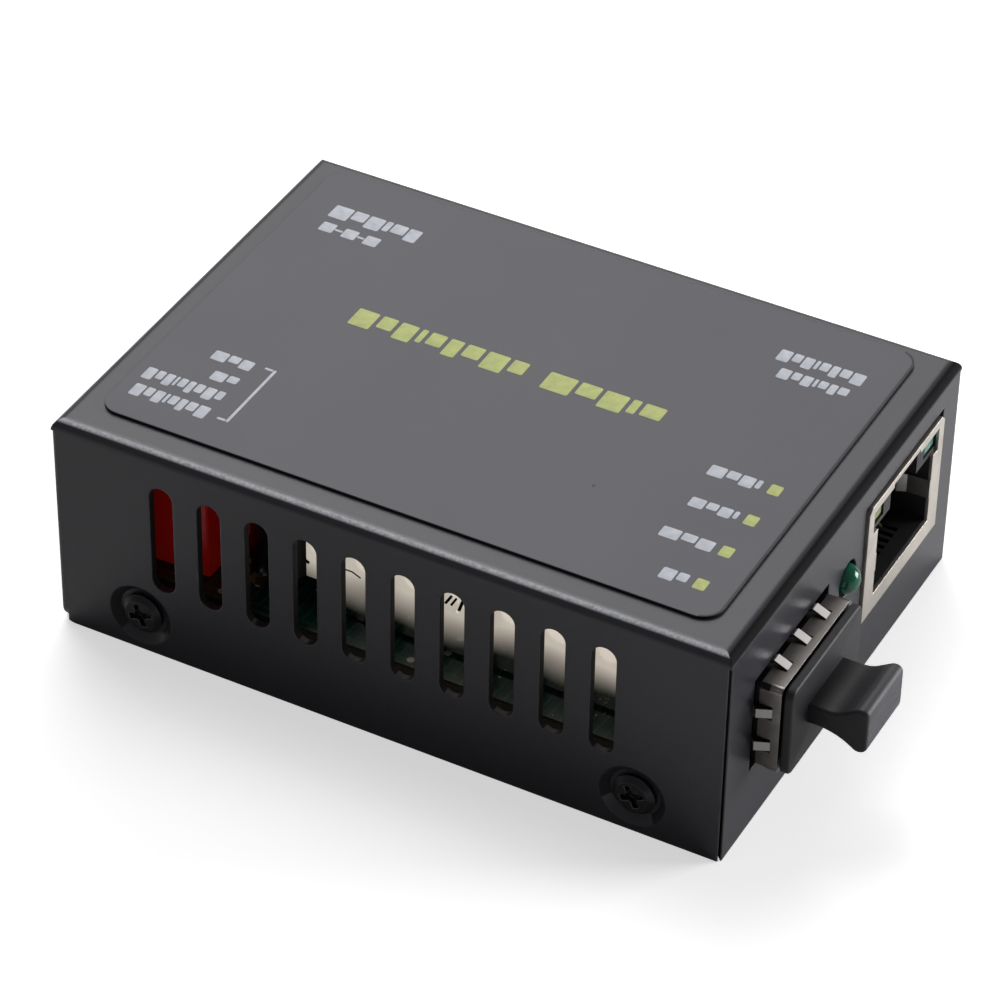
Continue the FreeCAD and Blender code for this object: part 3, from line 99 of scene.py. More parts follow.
class Wire:
    """A value or colour flowing between shader nodes. Arithmetic on it adds Math nodes."""

    def __init__(self, tree, socket):
        self.tree = tree
        self.socket = socket

    def math(self, operation, *others, clamp=False):
        """A Math node on this value and the others."""
        settings = {"operation": operation, "use_clamp": clamp}
        return add_node(self.tree, "ShaderNodeMath", enumerate((self, *others)), settings)

    def __add__(self, other):
        return self.math("ADD", other)

    __radd__ = __add__

    def __mul__(self, other):
        return self.math("MULTIPLY", other)

    __rmul__ = __mul__

    def __sub__(self, other):
        return self.math("SUBTRACT", other)

    def __rsub__(self, other):
        return (self * -1) + other

    def __truediv__(self, other):
        return self.math("DIVIDE", other)

    def __pow__(self, other):
        return self.math("POWER", other)

    def __gt__(self, other):
        return self.math("GREATER_THAN", other)

    def __lt__(self, other):
        return self.math("LESS_THAN", other)

    def __abs__(self):
        return self.math("ABSOLUTE")

    def between(self, low, high):
        """0 below low, 1 above high, and a straight ramp between them."""
        return ((self - low) / (high - low)).math("ADD", 0.0, clamp=True)

    def most(self, other):
        """The larger of the two."""
        return self.math("MAXIMUM", other)

    def fraction(self):
        """What is over the last whole number."""
        return self.math("FRACT")

    def steps(self, size):
        """The value held level over every stretch of this size."""
        return (self / size).math("FLOOR") * size

    def beside(self, output):
        """Another output of the same node, by name or number."""
        return Wire(self.tree, self.socket.node.outputs[output])

    def apart(self):
        """The three parts of a vector."""
        first = add_node(self.tree, "ShaderNodeSeparateXYZ", {0: self})
        return [first, first.beside(1), first.beside(2)]


class Finish:
    """One material under construction: a Principled surface and the nodes that drive it."""

    def __init__(self, name, **surface):
        self.material = bpy.data.materials.new(name)
        self.material.use_nodes = True
        self.tree = self.material.node_tree
        self.tree.nodes.clear()
        shaded = self.add("ShaderNodeBsdfPrincipled")
        self.shader = shaded.socket.node
        self.add("ShaderNodeOutputMaterial", {"Surface": shaded})
        self.set(**surface)
        self.spot = self.add("ShaderNodeTexCoord", output="Object")

    def set(self, **surface):
        """Set surface inputs by name, with _ for a space, and by value or by wire."""
        for name, value in surface.items():
            title = name.replace("_", " ").title().replace("Ior", "IOR")
            feed(self.tree, self.shader.inputs[title], value)

    def add(self, kind, sockets=(), settings=(), output=0):
        """A node in this material, as add_node makes it."""
        return add_node(self.tree, kind, sockets, settings, output)

    def axes(self):
        """The place on the object, as three wires in millimetres."""
        return [part * 1000 for part in self.spot.apart()]

    def facing(self):
        """The way the surface faces, as three wires."""
        return self.add("ShaderNodeNewGeometry", output="Normal").apart()

    def noise(self, size, detail=3.0, roughness=0.55, stretch=(1, 1, 1)):
        """Cloudy noise whose clouds measure about size millimetres, from 0 to 1."""
        clouds_a_metre = [1000 / size / s for s in stretch]
        scaled = self.add("ShaderNodeVectorMath", {0: self.spot, 1: clouds_a_metre},
                          {"operation": "MULTIPLY"})
        sockets = {"Vector": scaled, "Scale": 1.0, "Detail": detail, "Roughness": roughness}
        return self.add("ShaderNodeTexNoise", sockets, output="Fac")

    def mix(self, amount, first, second):
        """The first colour where amount is 0, the second where it is 1."""
        sockets = {"Factor": amount, 6: first, 7: second}
        return self.add("ShaderNodeMix", sockets, {"data_type": "RGBA"}, output=2)

    def rounded_edges(self, radius):
        """The normal of a surface whose edges are rounded to this radius in millimetres."""
        return self.add("ShaderNodeBevel", {"Radius": radius * MM}, {"samples": 6}, output="Normal")

    def edge_mask(self, radius):
        """1 along the sharp edges of the form and 0 elsewhere: where the rounded normal turns away
        from the true one."""
        rounded = self.rounded_edges(radius)
        true = self.add("ShaderNodeNewGeometry", output="Normal")
        alike = self.add("ShaderNodeVectorMath", {0: rounded, 1: true},
                         {"operation": "DOT_PRODUCT"}, output="Value")
        return (1 - alike).between(0.02, 0.25)

    def bump(self, height, depth, radius=0.0):
        """A height wire, 0 to 1, as relief of this depth in millimetres, over rounded edges."""
        sockets = {"Height": height, "Distance": depth * MM, "Strength": 1.0}
        if radius:
            sockets["Normal"] = self.rounded_edges(radius)
        self.set(normal=self.add("ShaderNodeBump", sockets))


# ---------------------------------------------------------------- finishes
def charcoal_coat():
    """Fine-textured charcoal powder coat: sandy relief, cloudy sheen, edges rubbed paler, a painted
    highlight along the long bend, painted shade as a dark band on the port end's bend, and painted
    shade as near-black cut walls and inner faces."""
    half_long, half_wide, tall = box_mm("top_cover")[1]
    finish = Finish("charcoal_coat", specular_ior_level=0.5)
    x, y, z = finish.axes()
    face_x, face_y, face_z = finish.facing()
    cloud = finish.noise(22, detail=4)
    grain = finish.noise(0.32, detail=2, roughness=0.6)

    pale = cloud.between(0.3, 0.7) * 0.35 + grain * 0.25
    body = finish.mix(pale, tone(44, 44, 51), tone(54, 53, 60))
    edge = finish.edge_mask(0.35) * finish.noise(1.6, detail=4).between(0.3, 0.6)
    rubbed = finish.mix(edge * 0.6, body, tone(112, 112, 118))

    bend = z > tall - 2.0
    # Painted highlight: a pale, speckled band on the upper part of the long -Y bend, where the
    # overhead light would catch it.
    highlight_band = face_z.between(0.72, 0.84) * (1 - face_z.between(0.92, 0.985))
    painted_light = finish.noise(0.35, detail=3) * 1.2 + 0.2
    highlighted = finish.mix(highlight_band * (face_y < -0.15) * bend * painted_light, rubbed, tone(232, 233, 240))

    # Painted shade: the port end's bend is painted near black, metallic and rough, where it would
    # reflect dark surroundings.
    dark_band_slope = face_z.between(0.08, 0.3) * (1 - face_z.between(0.86, 0.97))
    darker = (face_x > 0.25) * dark_band_slope * bend
    # Painted shade: the slots' cut walls and the faces inside the case are painted near black, as the
    # shade in those recesses.
    slot_wall_shade = (abs(face_x) > 0.6) * (abs(y) > half_wide - 1.4) * (abs(x) < half_long - 2.0)
    inside_wall_shade = ((face_y * y) < -8.0).most((face_x * x) < -12.0)
    inside_base_shade = (face_z > 0.85) * (z < 4.0)
    within_walls = (abs(y) < half_wide - 1.1) * (abs(x) < half_long - 1.1)
    low_inside_shade = (face_z > 0.2) * (z < 9.0) * within_walls
    # All of the painted shade together, mixed to near black below.
    dark = darker.most(slot_wall_shade).most(inside_wall_shade).most(inside_base_shade).most(low_inside_shade)
    finish.set(base_color=finish.mix(dark, highlighted, tone(8, 8, 10)), metallic=darker * 0.9,
               roughness=0.28 + cloud * 0.05 + grain * 0.05 + dark * 0.4)
    finish.bump(grain, 0.012, radius=0.26)
    return finish.material


def label_film():
    """The label's film: satin grey, faint mottling, a dark rim of painted shadow at the port end
    and along the foot of its edge, and one dark speck."""
    low, high = box_mm("face_label")
    corner = 2.1
    middle = [(a + b) / 2 for a, b in zip(low, high)]
    straight = [(b - a) / 2 - corner for a, b in zip(low, high)]
    finish = Finish("label_film", specular_ior_level=0.42)
    x, y, z = finish.axes()
    cloud = finish.noise(14, detail=3)
    grain = finish.noise(0.4, detail=2)

    past_x = (abs(x - middle[0]) - straight[0]).most(0.0)
    past_y = (abs(y - middle[1]) - straight[1]).most(0.0)
    # Painted shade: a dark band just inside the edge at the port end, and the low side faces of the
    # edge, stand in for the shadow along the label's edge.
    rim_shade = ((past_x * past_x + past_y * past_y) ** 0.5).between(corner - 0.3, corner - 0.16)
    port_end = x > high[0] - 1.6
    foot = (finish.facing()[2] < 0.5) * (z < low[2] + 0.17)
    speck_x, speck_y = low[0] + 45.7, low[1] + 11.9
    off_speck = ((x - speck_x) ** 2.0 + (y - speck_y) ** 2.0) ** 0.5
    speck = 1 - off_speck.between(0.1, 0.22)

    body = finish.mix(cloud * 0.6 + grain * 0.2, tone(88, 87, 93), tone(95, 94, 101))
    rim_shaded = finish.mix(rim_shade * port_end.most(foot), body, tone(22, 22, 26))
    finish.set(base_color=finish.mix(speck * 0.8, rim_shaded, tone(24, 24, 26)),
               roughness=0.46 + cloud * 0.1)
    finish.bump(grain, 0.004, radius=0.08)
    return finish.material


def printing_ink(name, colour, worn):
    """Screen-printed ink: a little uneven, with soft gloss."""
    finish = Finish(name, specular_ior_level=0.4)
    patch = finish.noise(0.9, detail=4)
    finish.set(base_color=finish.mix(patch.between(0.35, 0.8), colour, worn),
               roughness=0.42 + patch * 0.12)
    finish.bump(patch, 0.004)
    return finish.material


def bare_metal(name, bright, darker, roughness, grain=(1, 1, 1), scale=0.6):
    """Plated sheet metal: a drawn grain, cloudy tarnish and small dings."""
    finish = Finish(name, metallic=1.0)
    drawn = finish.noise(scale, detail=3, stretch=grain)
    cloud = finish.noise(3.5, detail=4)
    finish.set(base_color=finish.mix(cloud.between(0.35, 0.75), bright, darker),
               roughness=roughness + drawn * 0.08 + cloud * 0.06)
    finish.bump(drawn * 0.6 + cloud * 0.4, 0.006, radius=0.07)
    return finish.material


def cage_tin():
    """The cage's bright tin: almost a mirror, slightly wavy and warm. Its near wall has pressed
    seams, a painted highlight on its lip and a painted reflection glowing on its upper part, and the
    tin is painted dark near the mouth as the collar's shade."""
    low, high = box_mm("sfp_cage_cover")
    finish = Finish("cage_tin", metallic=1.0)
    x, y, z = finish.axes()
    wave = finish.noise(5.0, detail=1.0)
    wall = y < low[1] + 0.3

    def seam(x0, z0, x1, z1, half):
        """1 along a straight line in the wall, from one end to the other and half wide to each
        side. The ends are given from the cage's low corner."""
        x0, x1, z0, z1 = x0 + low[0], x1 + low[0], z0 + low[2], z1 + low[2]
        length = math.hypot(x1 - x0, z1 - z0)
        run, rise = (x1 - x0) / length, (z1 - z0) / length
        along = (x - x0) * run + (z - z0) * rise
        off = abs((z - z0) * run - (x - x0) * rise)
        return (off < half) * (along > 0.0) * (along < length)

    dark = seam(-0.9, 7.9, 0.3, 7.3, 0.2)
    for pressed in ((4.0, 8.1, 5.0, 8.1, 0.09), (4.9, 8.1, 5.8, 7.7, 0.1),
                    (14.7, 8.3, 15.4, 9.5, 0.13), (15.3, 8.3, 15.9, 9.4, 0.11)):
        dark = dark.most(seam(*pressed))
    # Painted highlight: a bright line along the wall's lip, in colour and in a little glow.
    lip_highlight = seam(-1.1, 5.15, 0.9, 5.15, 0.17)
    # Painted shade: the tin near the mouth and at its near top corner is painted dark and rough, as
    # the collar's shade.
    corner_shade = (x > high[0] - 2.4) * (z > high[2] - 0.5) * (y < low[1] + 1.2)
    mouth_shade = (x > high[0] - 2.9).most(corner_shade)

    warm = finish.mix(wave.between(0.3, 0.7), tone(222, 212, 198), tone(196, 186, 172))
    lit = finish.mix(lip_highlight * wall, warm, tone(236, 232, 226))
    seamed = finish.mix(dark * wall, lit, tone(34, 32, 32))
    # Painted reflection: the wall's upper part glows warm cream, as the lit floor would show in the
    # tin.
    level = z + finish.noise(7.0, detail=0.0) * 3 - 1.5
    upper = level.between(low[2] + 3.6, low[2] + 7.8) ** 1.4
    glow = upper * (0.7 + wave * 0.6) * wall * (1 - dark) + lip_highlight * wall * 0.3
    finish.set(base_color=finish.mix(mouth_shade, seamed, tone(62, 60, 60)),
               roughness=0.1 + mouth_shade * 0.3, emission_strength=0.58,
               emission_color=finish.mix(glow * (1 - mouth_shade), tone(0, 0, 0), tone(240, 229, 214)))
    finish.bump(wave, 0.08, radius=0.07)
    return finish.material


def spring_sheet():
    """The grounding collar: grey plated spring sheet, with the leaning faces of its fingers painted
    pale and matt as a highlight, where they would catch the light."""
    finish = Finish("spring_sheet")
    lean = finish.facing()[0]
    # Painted highlight: the fingers' faces leaning to +X are painted near white and matt, as lit.
    ramp_highlight = lean.between(0.2, 0.3) * (1 - lean.between(0.7, 0.85))
    cloud = finish.noise(2.4, detail=4)
    drawn = finish.noise(0.3, detail=3)
    plate = finish.mix(cloud.between(0.3, 0.7), tone(146, 141, 137), tone(126, 121, 117))
    finish.set(base_color=finish.mix(ramp_highlight, plate, tone(244, 240, 237)), metallic=1 - ramp_highlight * 0.9,
               roughness=0.26 + drawn * 0.08 + ramp_highlight * 0.2)
    finish.bump(drawn, 0.006, radius=0.05)
    return finish.material


def black_oxide():
    """Blackened screw: dark satin metal, its edges painted bright both as wear and as painted
    highlights.
    """
    finish = Finish("black_oxide", metallic=0.55)
    cloud = finish.noise(0.7, detail=3)
    # Edges painted bright: partly wear, partly painted highlight on the rims.
    edge = finish.edge_mask(0.18) * cloud.between(0.2, 0.6)
    finish.set(base_color=finish.mix(edge * 0.7, tone(40, 39, 43), tone(160, 158, 156)),
               roughness=0.24 + cloud * 0.14)
    finish.bump(cloud, 0.008, radius=0.09)
    return finish.material


def moulded(name, colour, second, roughness, grain=0.3, **surface):
    """Moulded plastic, ferrite or solder: a fine skin texture over slightly uneven colour."""
    finish = Finish(name, **surface)
    cloud = finish.noise(4.0, detail=3)
    fine = finish.noise(grain, detail=2)
    finish.set(base_color=finish.mix(cloud * 0.7 + fine * 0.3, colour, second),
               roughness=roughness + cloud * 0.1)
    finish.bump(fine, 0.008, radius=0.1)
    return finish.material


def plug_rubber():
    """Black rubber with a fine mould texture, painted paler as lit on the grip's end and crest."""
    end = box_mm("dust_plug")[1][0]
    finish = Finish("plug_rubber", specular_ior_level=0.42)
    x = finish.axes()[0]
    face_x, _, face_z = finish.facing()
    cloud = finish.noise(4.0, detail=3)
    fine = finish.noise(0.3, detail=2)
    body = finish.mix(cloud * 0.7 + fine * 0.3, tone(30, 29, 33), tone(37, 36, 40))
    # Painted light: the grip's end face and crest, which face the lamps, are painted paler grey.
    painted_light = (x > end - 1.6) * (face_x.between(0.5, 0.9) + face_z.between(0.6, 0.95) * 0.5)
    finish.set(base_color=finish.mix(painted_light * (0.6 + fine * 0.4), body, tone(84, 84, 90)),
               roughness=0.48 + cloud * 0.1)
    finish.bump(fine, 0.006, radius=0.16)
    return finish.material


def clear_lamp(name, colour, core, glow, foot=None):
    """Tinted clear plastic with a faint glow. A foot is its low end, its height and its paler
    colour."""
    finish = Finish(name, transmission_weight=0.25, ior=1.49, specular_ior_level=0.5,
                    emission_strength=glow)
    cloud = finish.noise(1.2, detail=2)
    mixed = finish.mix(cloud, colour, core)
    if foot:
        low, height, pale = foot
        mixed = finish.mix(1 - finish.axes()[2].between(low, low + height), mixed, pale)
    finish.set(base_color=mixed, roughness=0.12 + cloud * 0.06, emission_color=mixed)
    finish.bump(cloud, 0.004, radius=0.08)
    return finish.material


def solder_mask():
    """The board: grey-green mask over stepped copper tracks at right angles, pale marks and pads,
    and bare laminate at its edges."""
    pitch_along_x, pitch_along_y, pad_pitch = 0.85, 1.15, 2.54
    finish = Finish("solder_mask", specular_ior_level=0.6)
    x, y, _ = finish.axes()
    side = abs(finish.facing()[2]) < 0.5
    shift_y, shift_x = x.steps(4.6) * 0.37, y.steps(5.3) * 0.41
    along_x = abs(((y + shift_y) / pitch_along_x).fraction() - 0.5) < 0.15
    along_y = abs(((x + shift_x) / pitch_along_y).fraction() - 0.5) < 0.12
    runs_x = (x.steps(6.1) * 0.173 + y.steps(4.3) * 0.311).fraction() > 0.5
    track = along_x * runs_x + along_y * (1 - runs_x)
    hole_x, hole_y = [(place / pad_pitch).fraction() - 0.5 for place in (x, y)]
    pad = ((hole_x * hole_x + hole_y * hole_y) < 0.022) * (finish.noise(6, detail=0.0) > 0.56)
    mark = (finish.noise(0.5, detail=1.0) > 0.7) * (finish.noise(3.2, detail=0.0) > 0.55)
    green = finish.mix(track, tone(18, 62, 57), tone(34, 88, 80))
    dotted = finish.mix(pad, green, tone(206, 204, 196))
    marked = finish.mix(mark * 0.8, dotted, tone(214, 216, 212))
    finish.set(base_color=finish.mix(side, marked, tone(122, 128, 84)),
               roughness=0.16 + side * 0.4 + pad * 0.1)
    finish.bump(track + pad, 0.02, radius=0.06)
    return finish.material


def capacitor_sleeve(name, node, colour):
    """A shrink sleeve with one pale stripe, and the can's bare scored aluminium on top."""
    low, high = box_mm(node)
    middle_x, middle_y = (low[0] + high[0]) / 2, (low[1] + high[1]) / 2
    reach = (high[0] - low[0]) / 2
    finish = Finish(name)
    x, y, z = finish.axes()
    out = ((x - middle_x) ** 2.0 + (y - middle_y) ** 2.0) ** 0.5
    top = (z > high[2] - 0.02) * (out < reach - 0.75)
    stripe = (x > middle_x + reach * 0.72) * (1 - top)
    cross = (abs(x - middle_x) < 0.14).most(abs(y - middle_y) < 0.14)
    score = cross * (out < reach - 1.0) * top
    cloud = finish.noise(1.4, detail=3)
    sleeve = finish.mix(stripe, colour, tone(150, 150, 150))
    finish.set(base_color=finish.mix(top, sleeve, tone(188, 188, 190)), metallic=top,
               roughness=0.26 + top * 0.12 + cloud * 0.08)
    finish.bump(1 - score, 0.05, radius=0.08)
    return finish.material


def sintered_ceramic():
    """Chip parts: tan or dark bodies, slightly speckled."""
    finish = Finish("sintered_ceramic")
    cloud = finish.noise(2.4, detail=0.0)
    fine = finish.noise(0.25, detail=2)
    body = finish.mix(cloud > 0.5, tone(134, 112, 84), tone(34, 33, 34))
    finish.set(base_color=finish.mix(fine * 0.3, body, tone(150, 130, 100)), roughness=0.45)
    finish.bump(fine, 0.006, radius=0.06)
    return finish.material


def dress_solids():
    """Give every solid its finish; returns the finishes that added pieces share."""
    coat = charcoal_coat()
    tin = bare_metal("bright_tin", tone(205, 204, 202), tone(176, 175, 172), 0.26)
    black = moulded("black_moulding", tone(22, 22, 25), tone(30, 30, 33), 0.48)
    epoxy = moulded("black_epoxy", tone(26, 26, 28), tone(36, 36, 38), 0.6, grain=0.12)
    gold = bare_metal("contact_gold", tone(96, 78, 46), tone(70, 56, 34), 0.34, scale=0.3)
    lever = moulded("white_lever", tone(214, 213, 208), tone(198, 197, 192), 0.35)
    rubber = plug_rubber()
    green = clear_lamp("status_green", tone(0, 92, 66), tone(0, 112, 80), 0.03)
    lens_low = box_mm("rj45_lamp_yellow")[0][2]
    finishes = {
        "top_cover": coat,
        "base_plate": coat,
        "face_label": label_film(),
        "cover_screws": black_oxide(),
        "board_screws": tin,
        "standoffs": tin,
        "circuit_board": solder_mask(),
        "converter_chip": epoxy,
        "converter_chip_leads": tin,
        "settings_memory": epoxy,
        "crystal_can": bare_metal("crystal_steel", tone(196, 196, 198), tone(172, 172, 175), 0.2),
        "voltage_regulator": epoxy,
        "power_inductor": moulded("ferrite_grey", tone(58, 58, 60), tone(74, 73, 74), 0.55),
        "filter_capacitor": capacitor_sleeve("black_sleeve", "filter_capacitor", tone(20, 20, 24)),
        "input_capacitor": capacitor_sleeve("navy_sleeve", "input_capacitor", tone(22, 24, 46)),
        "chip_parts": sintered_ceramic(),
        "rj45_shield": bare_metal("nickel_sheet", tone(218, 211, 202), tone(198, 191, 184), 0.34,
                                  grain=(1, 6, 1), scale=0.3),
        "rj45_ground_springs": tin,
        "rj45_housing": black,
        "rj45_contacts": gold,
        "rj45_lamp_yellow": clear_lamp("yellow_lens", tone(128, 134, 52), tone(146, 152, 74), 0.04,
                                       foot=(lens_low, 0.5, tone(196, 200, 140))),
        "rj45_lamp_green": clear_lamp("green_lens", tone(64, 132, 118), tone(92, 156, 142), 0.04,
                                      foot=(lens_low, 0.5, tone(170, 206, 196))),
        "sfp_cage_cover": cage_tin(),
        "sfp_cage_tray": tin,
        "sfp_spring_collar": spring_sheet(),
        "sfp_connector": black,
        "sfp_connector_contacts": gold,
        "dust_plug": rubber,
        "status_lamp": green,
        "status_lamp_leads": tin,
        "power_socket": black,
        "power_socket_pin": tin,
        "power_socket_lugs": tin,
        # The red body also glows a little: painted light, to brighten it where it is seen through the
        # slots.
        "switch_block": moulded("red_moulding_painted_glow", tone(226, 24, 26), tone(206, 16, 22), 0.3,
                                emission_color=tone(214, 30, 14), emission_strength=0.05),
        "switch_block_pins": tin,
    }
    finishes.update({f"option_lever_{number}": lever for number in range(1, 5)})
    for name, node in NODES.items():
        node.data.materials.clear()
        node.data.materials.append(finishes[name])
    # The solder glows: a painted highlight for its bright domes.
    solder = moulded("wet_solder_painted_glow", tone(226, 226, 222), tone(204, 204, 200), 0.16, metallic=0.3,
                     emission_strength=0.35, emission_color=tone(220, 222, 220))
    return {"rubber": rubber, "green": green, "solder": solder}


# ---------------------------------------------------------------- meshes
def make_piece(name, points, faces, material, body="case", slot=None, closed=True):
    """A mesh piece from points in millimetres and arrays of faces, riding on a body. A closed one
    is welded and turned to face outwards, and its faces shade smoothly up to 35 degrees."""
    mesh = bpy.data.meshes.new(name)
    mesh.from_pydata((points * MM).tolist(), [], [face for kind in faces for face in kind.tolist()])
    if closed:
        work = bmesh.new()
        work.from_mesh(mesh)
        bmesh.ops.remove_doubles(work, verts=work.verts, dist=1e-8)
        bmesh.ops.recalc_face_normals(work, faces=work.faces)
        work.to_mesh(mesh)
        work.free()
        mesh.polygons.foreach_set("use_smooth", [True] * len(mesh.polygons))
        mesh.set_sharp_from_angle(angle=math.radians(35))
    mesh.update()
    mesh.materials.append(material)
    piece = bpy.data.objects.new(name, mesh)
    bpy.context.scene.collection.objects.link(piece)
    if body:
        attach(piece, body)
    return piece


def rounded_outline(half_wide, half_tall, corner, steps=6):
    """Round a rectangle by angle: each corner is the quarter circle of this radius about its own
    centre, and the straight sides join them. Two columns of numbers."""
    quarter = np.linspace(0, np.pi / 2, steps)
    angle = np.concatenate([quarter + turn * np.pi / 2 for turn in range(4)])
    centre_x = np.repeat([1, -1, -1, 1], steps) * (half_wide - corner)
    centre_y = np.repeat([1, 1, -1, -1], steps) * (half_tall - corner)
    return np.column_stack([centre_x + corner * np.cos(angle), centre_y + corner * np.sin(angle)])


def closed_skin(rings):
    """A closed surface over rings of equal length: each ring is joined to the next by quads, and
    the first and the last are closed to their middle points by triangles. Returns the points and
    the two kinds of face."""
    rings = np.asarray(rings, float)
    rows, around = rings.shape[:2]
    points = np.vstack([rings.reshape(-1, 3), rings[:1].mean(axis=1), rings[-1:].mean(axis=1)])
    row = np.arange(rows - 1)[:, None] * around
    here = np.arange(around)
    after = (here + 1) % around
    ahead = row + around
    quads = np.stack([row + here, row + after, ahead + after, ahead + here], axis=-1)
    last = (rows - 1) * around
    near_cap = np.column_stack([after, here, np.full(around, rows * around)])
    far_cap = np.column_stack([last + here, last + after, np.full(around, rows * around + 1)])
    return points, [quads.reshape(-1, 4), np.vstack([near_cap, far_cap])]


def joined_skins(skins):
    """Several surfaces as one: their points together, and each one's faces counted on from the
    points before its own."""
    before = np.cumsum([0] + [len(points) for points, faces in skins])
    joined = [kind + count for (points, faces), count in zip(skins, before) for kind in faces]
    return np.vstack([points for points, faces in skins]), joined


def solid_of_sections(sections, middle_y, middle_z):
    """A closed form along X: every section is (x, half width, half height, corner), a rounded
    rectangle round the middle line."""
    rings = []
    for x, half_y, half_z, corner in sections:
        side, up = rounded_outline(half_y, half_z, corner).T
        rings.append(np.column_stack([np.full(len(side), x), middle_y + side, middle_z + up]))
    return closed_skin(rings)


# ---------------------------------------------------------------- the label's print
def ink_bar(low_x, low_y, high_x, high_y, base):
    """A thin bar of ink: a rounded rectangle on the film, the same one lifted most of the way, and
    a slightly smaller one at full height."""
    thickness, bevel = 0.014, 0.03
    half_x, half_y = (high_x - low_x) / 2, (high_y - low_y) / 2
    corner = min(0.18, half_x * 0.9, half_y * 0.9)
    middle = np.array([(low_x + high_x) / 2, (low_y + high_y) / 2])
    rings = []
    for inset, height in ((0.0, 0.0), (0.0, thickness * 0.7), (bevel, thickness)):
        rounding = max(corner - inset, 0.02)
        flat = middle + rounded_outline(half_x - inset, half_y - inset, rounding, steps=4)
        rings.append(np.column_stack([flat, np.full(len(flat), base + height)]))
    return closed_skin(rings)


def print_on_label(name, bars, material):
    """Join bars of ink, given from the label's low corner, into one printed piece."""
    low, high = box_mm("face_label")
    skins = [ink_bar(low[0] + x0, low[1] + y0, low[0] + x1, low[1] + y1, high[2])
             for x0, y0, x1, y1 in bars]
    make_piece(name, *joined_skins(skins), material, slot="label_print")


def block_word(x0, y0, x1, y1, letters, gap=0.2):
    """A word as plain blocks: wide and narrow, tall and short ones in a fixed rhythm, with a gap
    after each."""
    rhythm = [(1.3, 1.0), (1.0, 0.72), (1.1, 1.0), (0.5, 0.8), (1.0, 0.72), (0.9, 1.0), (1.1, 0.72)]
    beats = [rhythm[i % len(rhythm)] for i in range(letters)]
    unit = (x1 - x0) / sum(wide for wide, tall in beats)
    bars, x = [], x0
    for wide, tall in beats:
        bars.append((x + gap / 2, y1 - (y1 - y0) * tall, x + unit * wide - gap / 2, y1))
        x += unit * wide
    return bars


def print_label():
    """The label's print, as plain bars, squares, dots and rules."""
    lime = printing_ink("lime_ink", tone(200, 208, 124), tone(178, 186, 116))
    white = printing_ink("white_ink", tone(210, 213, 222), tone(184, 188, 198))

    title = [bar for x0, x1, letters in ((13.6, 32.4, 9), (34.2, 46.8, 5))
             for bar in block_word(x0, 22.6, x1, 25.3, letters, gap=0.42)]
    lamp_keys = [(59.8, y - 0.75, 61.0, y + 0.75) for y in (4.05, 9.25, 14.35, 19.35)]
    print_on_label("label_print_lime", title + lamp_keys, lime)

    lamp_names = [(53.7, 18.45, 59.1, 20.05, 4), (54.2, 13.55, 59.2, 14.95, 4),
                  (53.8, 8.45, 59.2, 9.95, 3), (56.4, 3.15, 59.2, 4.75, 2)]
    jack_name = [(51.7, 37.35, 60.7, 39.15, 8), (52.9, 34.85, 60.2, 36.45, 7)]
    power_rating = [(3.25, 37.05, 13.1, 39.15, 6)]
    switch_options = [(5.25, 11.4, 9.7, 12.85, 3), (6.8, 8.65, 9.7, 10.05, 2),
                      (1.1, 5.75, 9.7, 7.55, 9), (1.4, 3.05, 9.7, 4.85, 8)]
    words = [bar for word in lamp_names + jack_name + power_rating + switch_options
             for bar in block_word(*word)]
    bracket = [(11.65, 3.75, 11.95, 12.75), (10.7, 12.45, 11.6, 12.75), (10.7, 3.75, 11.6, 4.05)]
    dots = [(x - 0.75, 34.6, x + 0.75, 36.1) for x in (4.4, 6.9, 9.3)]
    joins = [(5.2, 35.2, 6.1, 35.5), (7.7, 35.2, 8.5, 35.5)]
    print_on_label("label_print_white", words + bracket + dots + joins, white)


# ---------------------------------------------------------------- lens, plug and solder
def make_status_lens(material):
    """The status lamp's lens: a foot, a round barrel and a dome whose radius falls as the cosine
    while its height rises as the sine."""
    (x0, y0, z0), (x1, y1, z1) = box_mm("status_lamp")
    middle_y, middle_z, foot = (y0 + y1) / 2, (z0 + z1) / 2, (y1 - y0) / 2
    barrel, foot_depth, bevel, last_angle = foot - 0.4, 1.0, 0.12, 84
    dome_x = x1 - barrel * math.sin(math.radians(last_angle))
    sweep = np.radians(np.linspace(0, last_angle, 10))
    sections = [(x0, foot - bevel), (x0 + bevel, foot), (x0 + foot_depth - bevel, foot),
                (x0 + foot_depth, foot - bevel), (x0 + foot_depth, barrel)]
    sections += list(zip(dome_x + barrel * np.sin(sweep), barrel * np.cos(sweep)))
    skin = solid_of_sections([(x, r, r, r) for x, r in sections], middle_y, middle_z)
    lens = make_piece("status_lens", *skin, material, slot="status_green")
    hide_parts("status_lamp")


def arc(centre_x, centre_z, radius, first, last, steps=9):
    """Points of a circle about a centre, from one angle to another in degrees."""
    angle = np.radians(np.linspace(first, last, steps))
    return np.column_stack([centre_x + radius * np.cos(angle), centre_z + radius * np.sin(angle)])


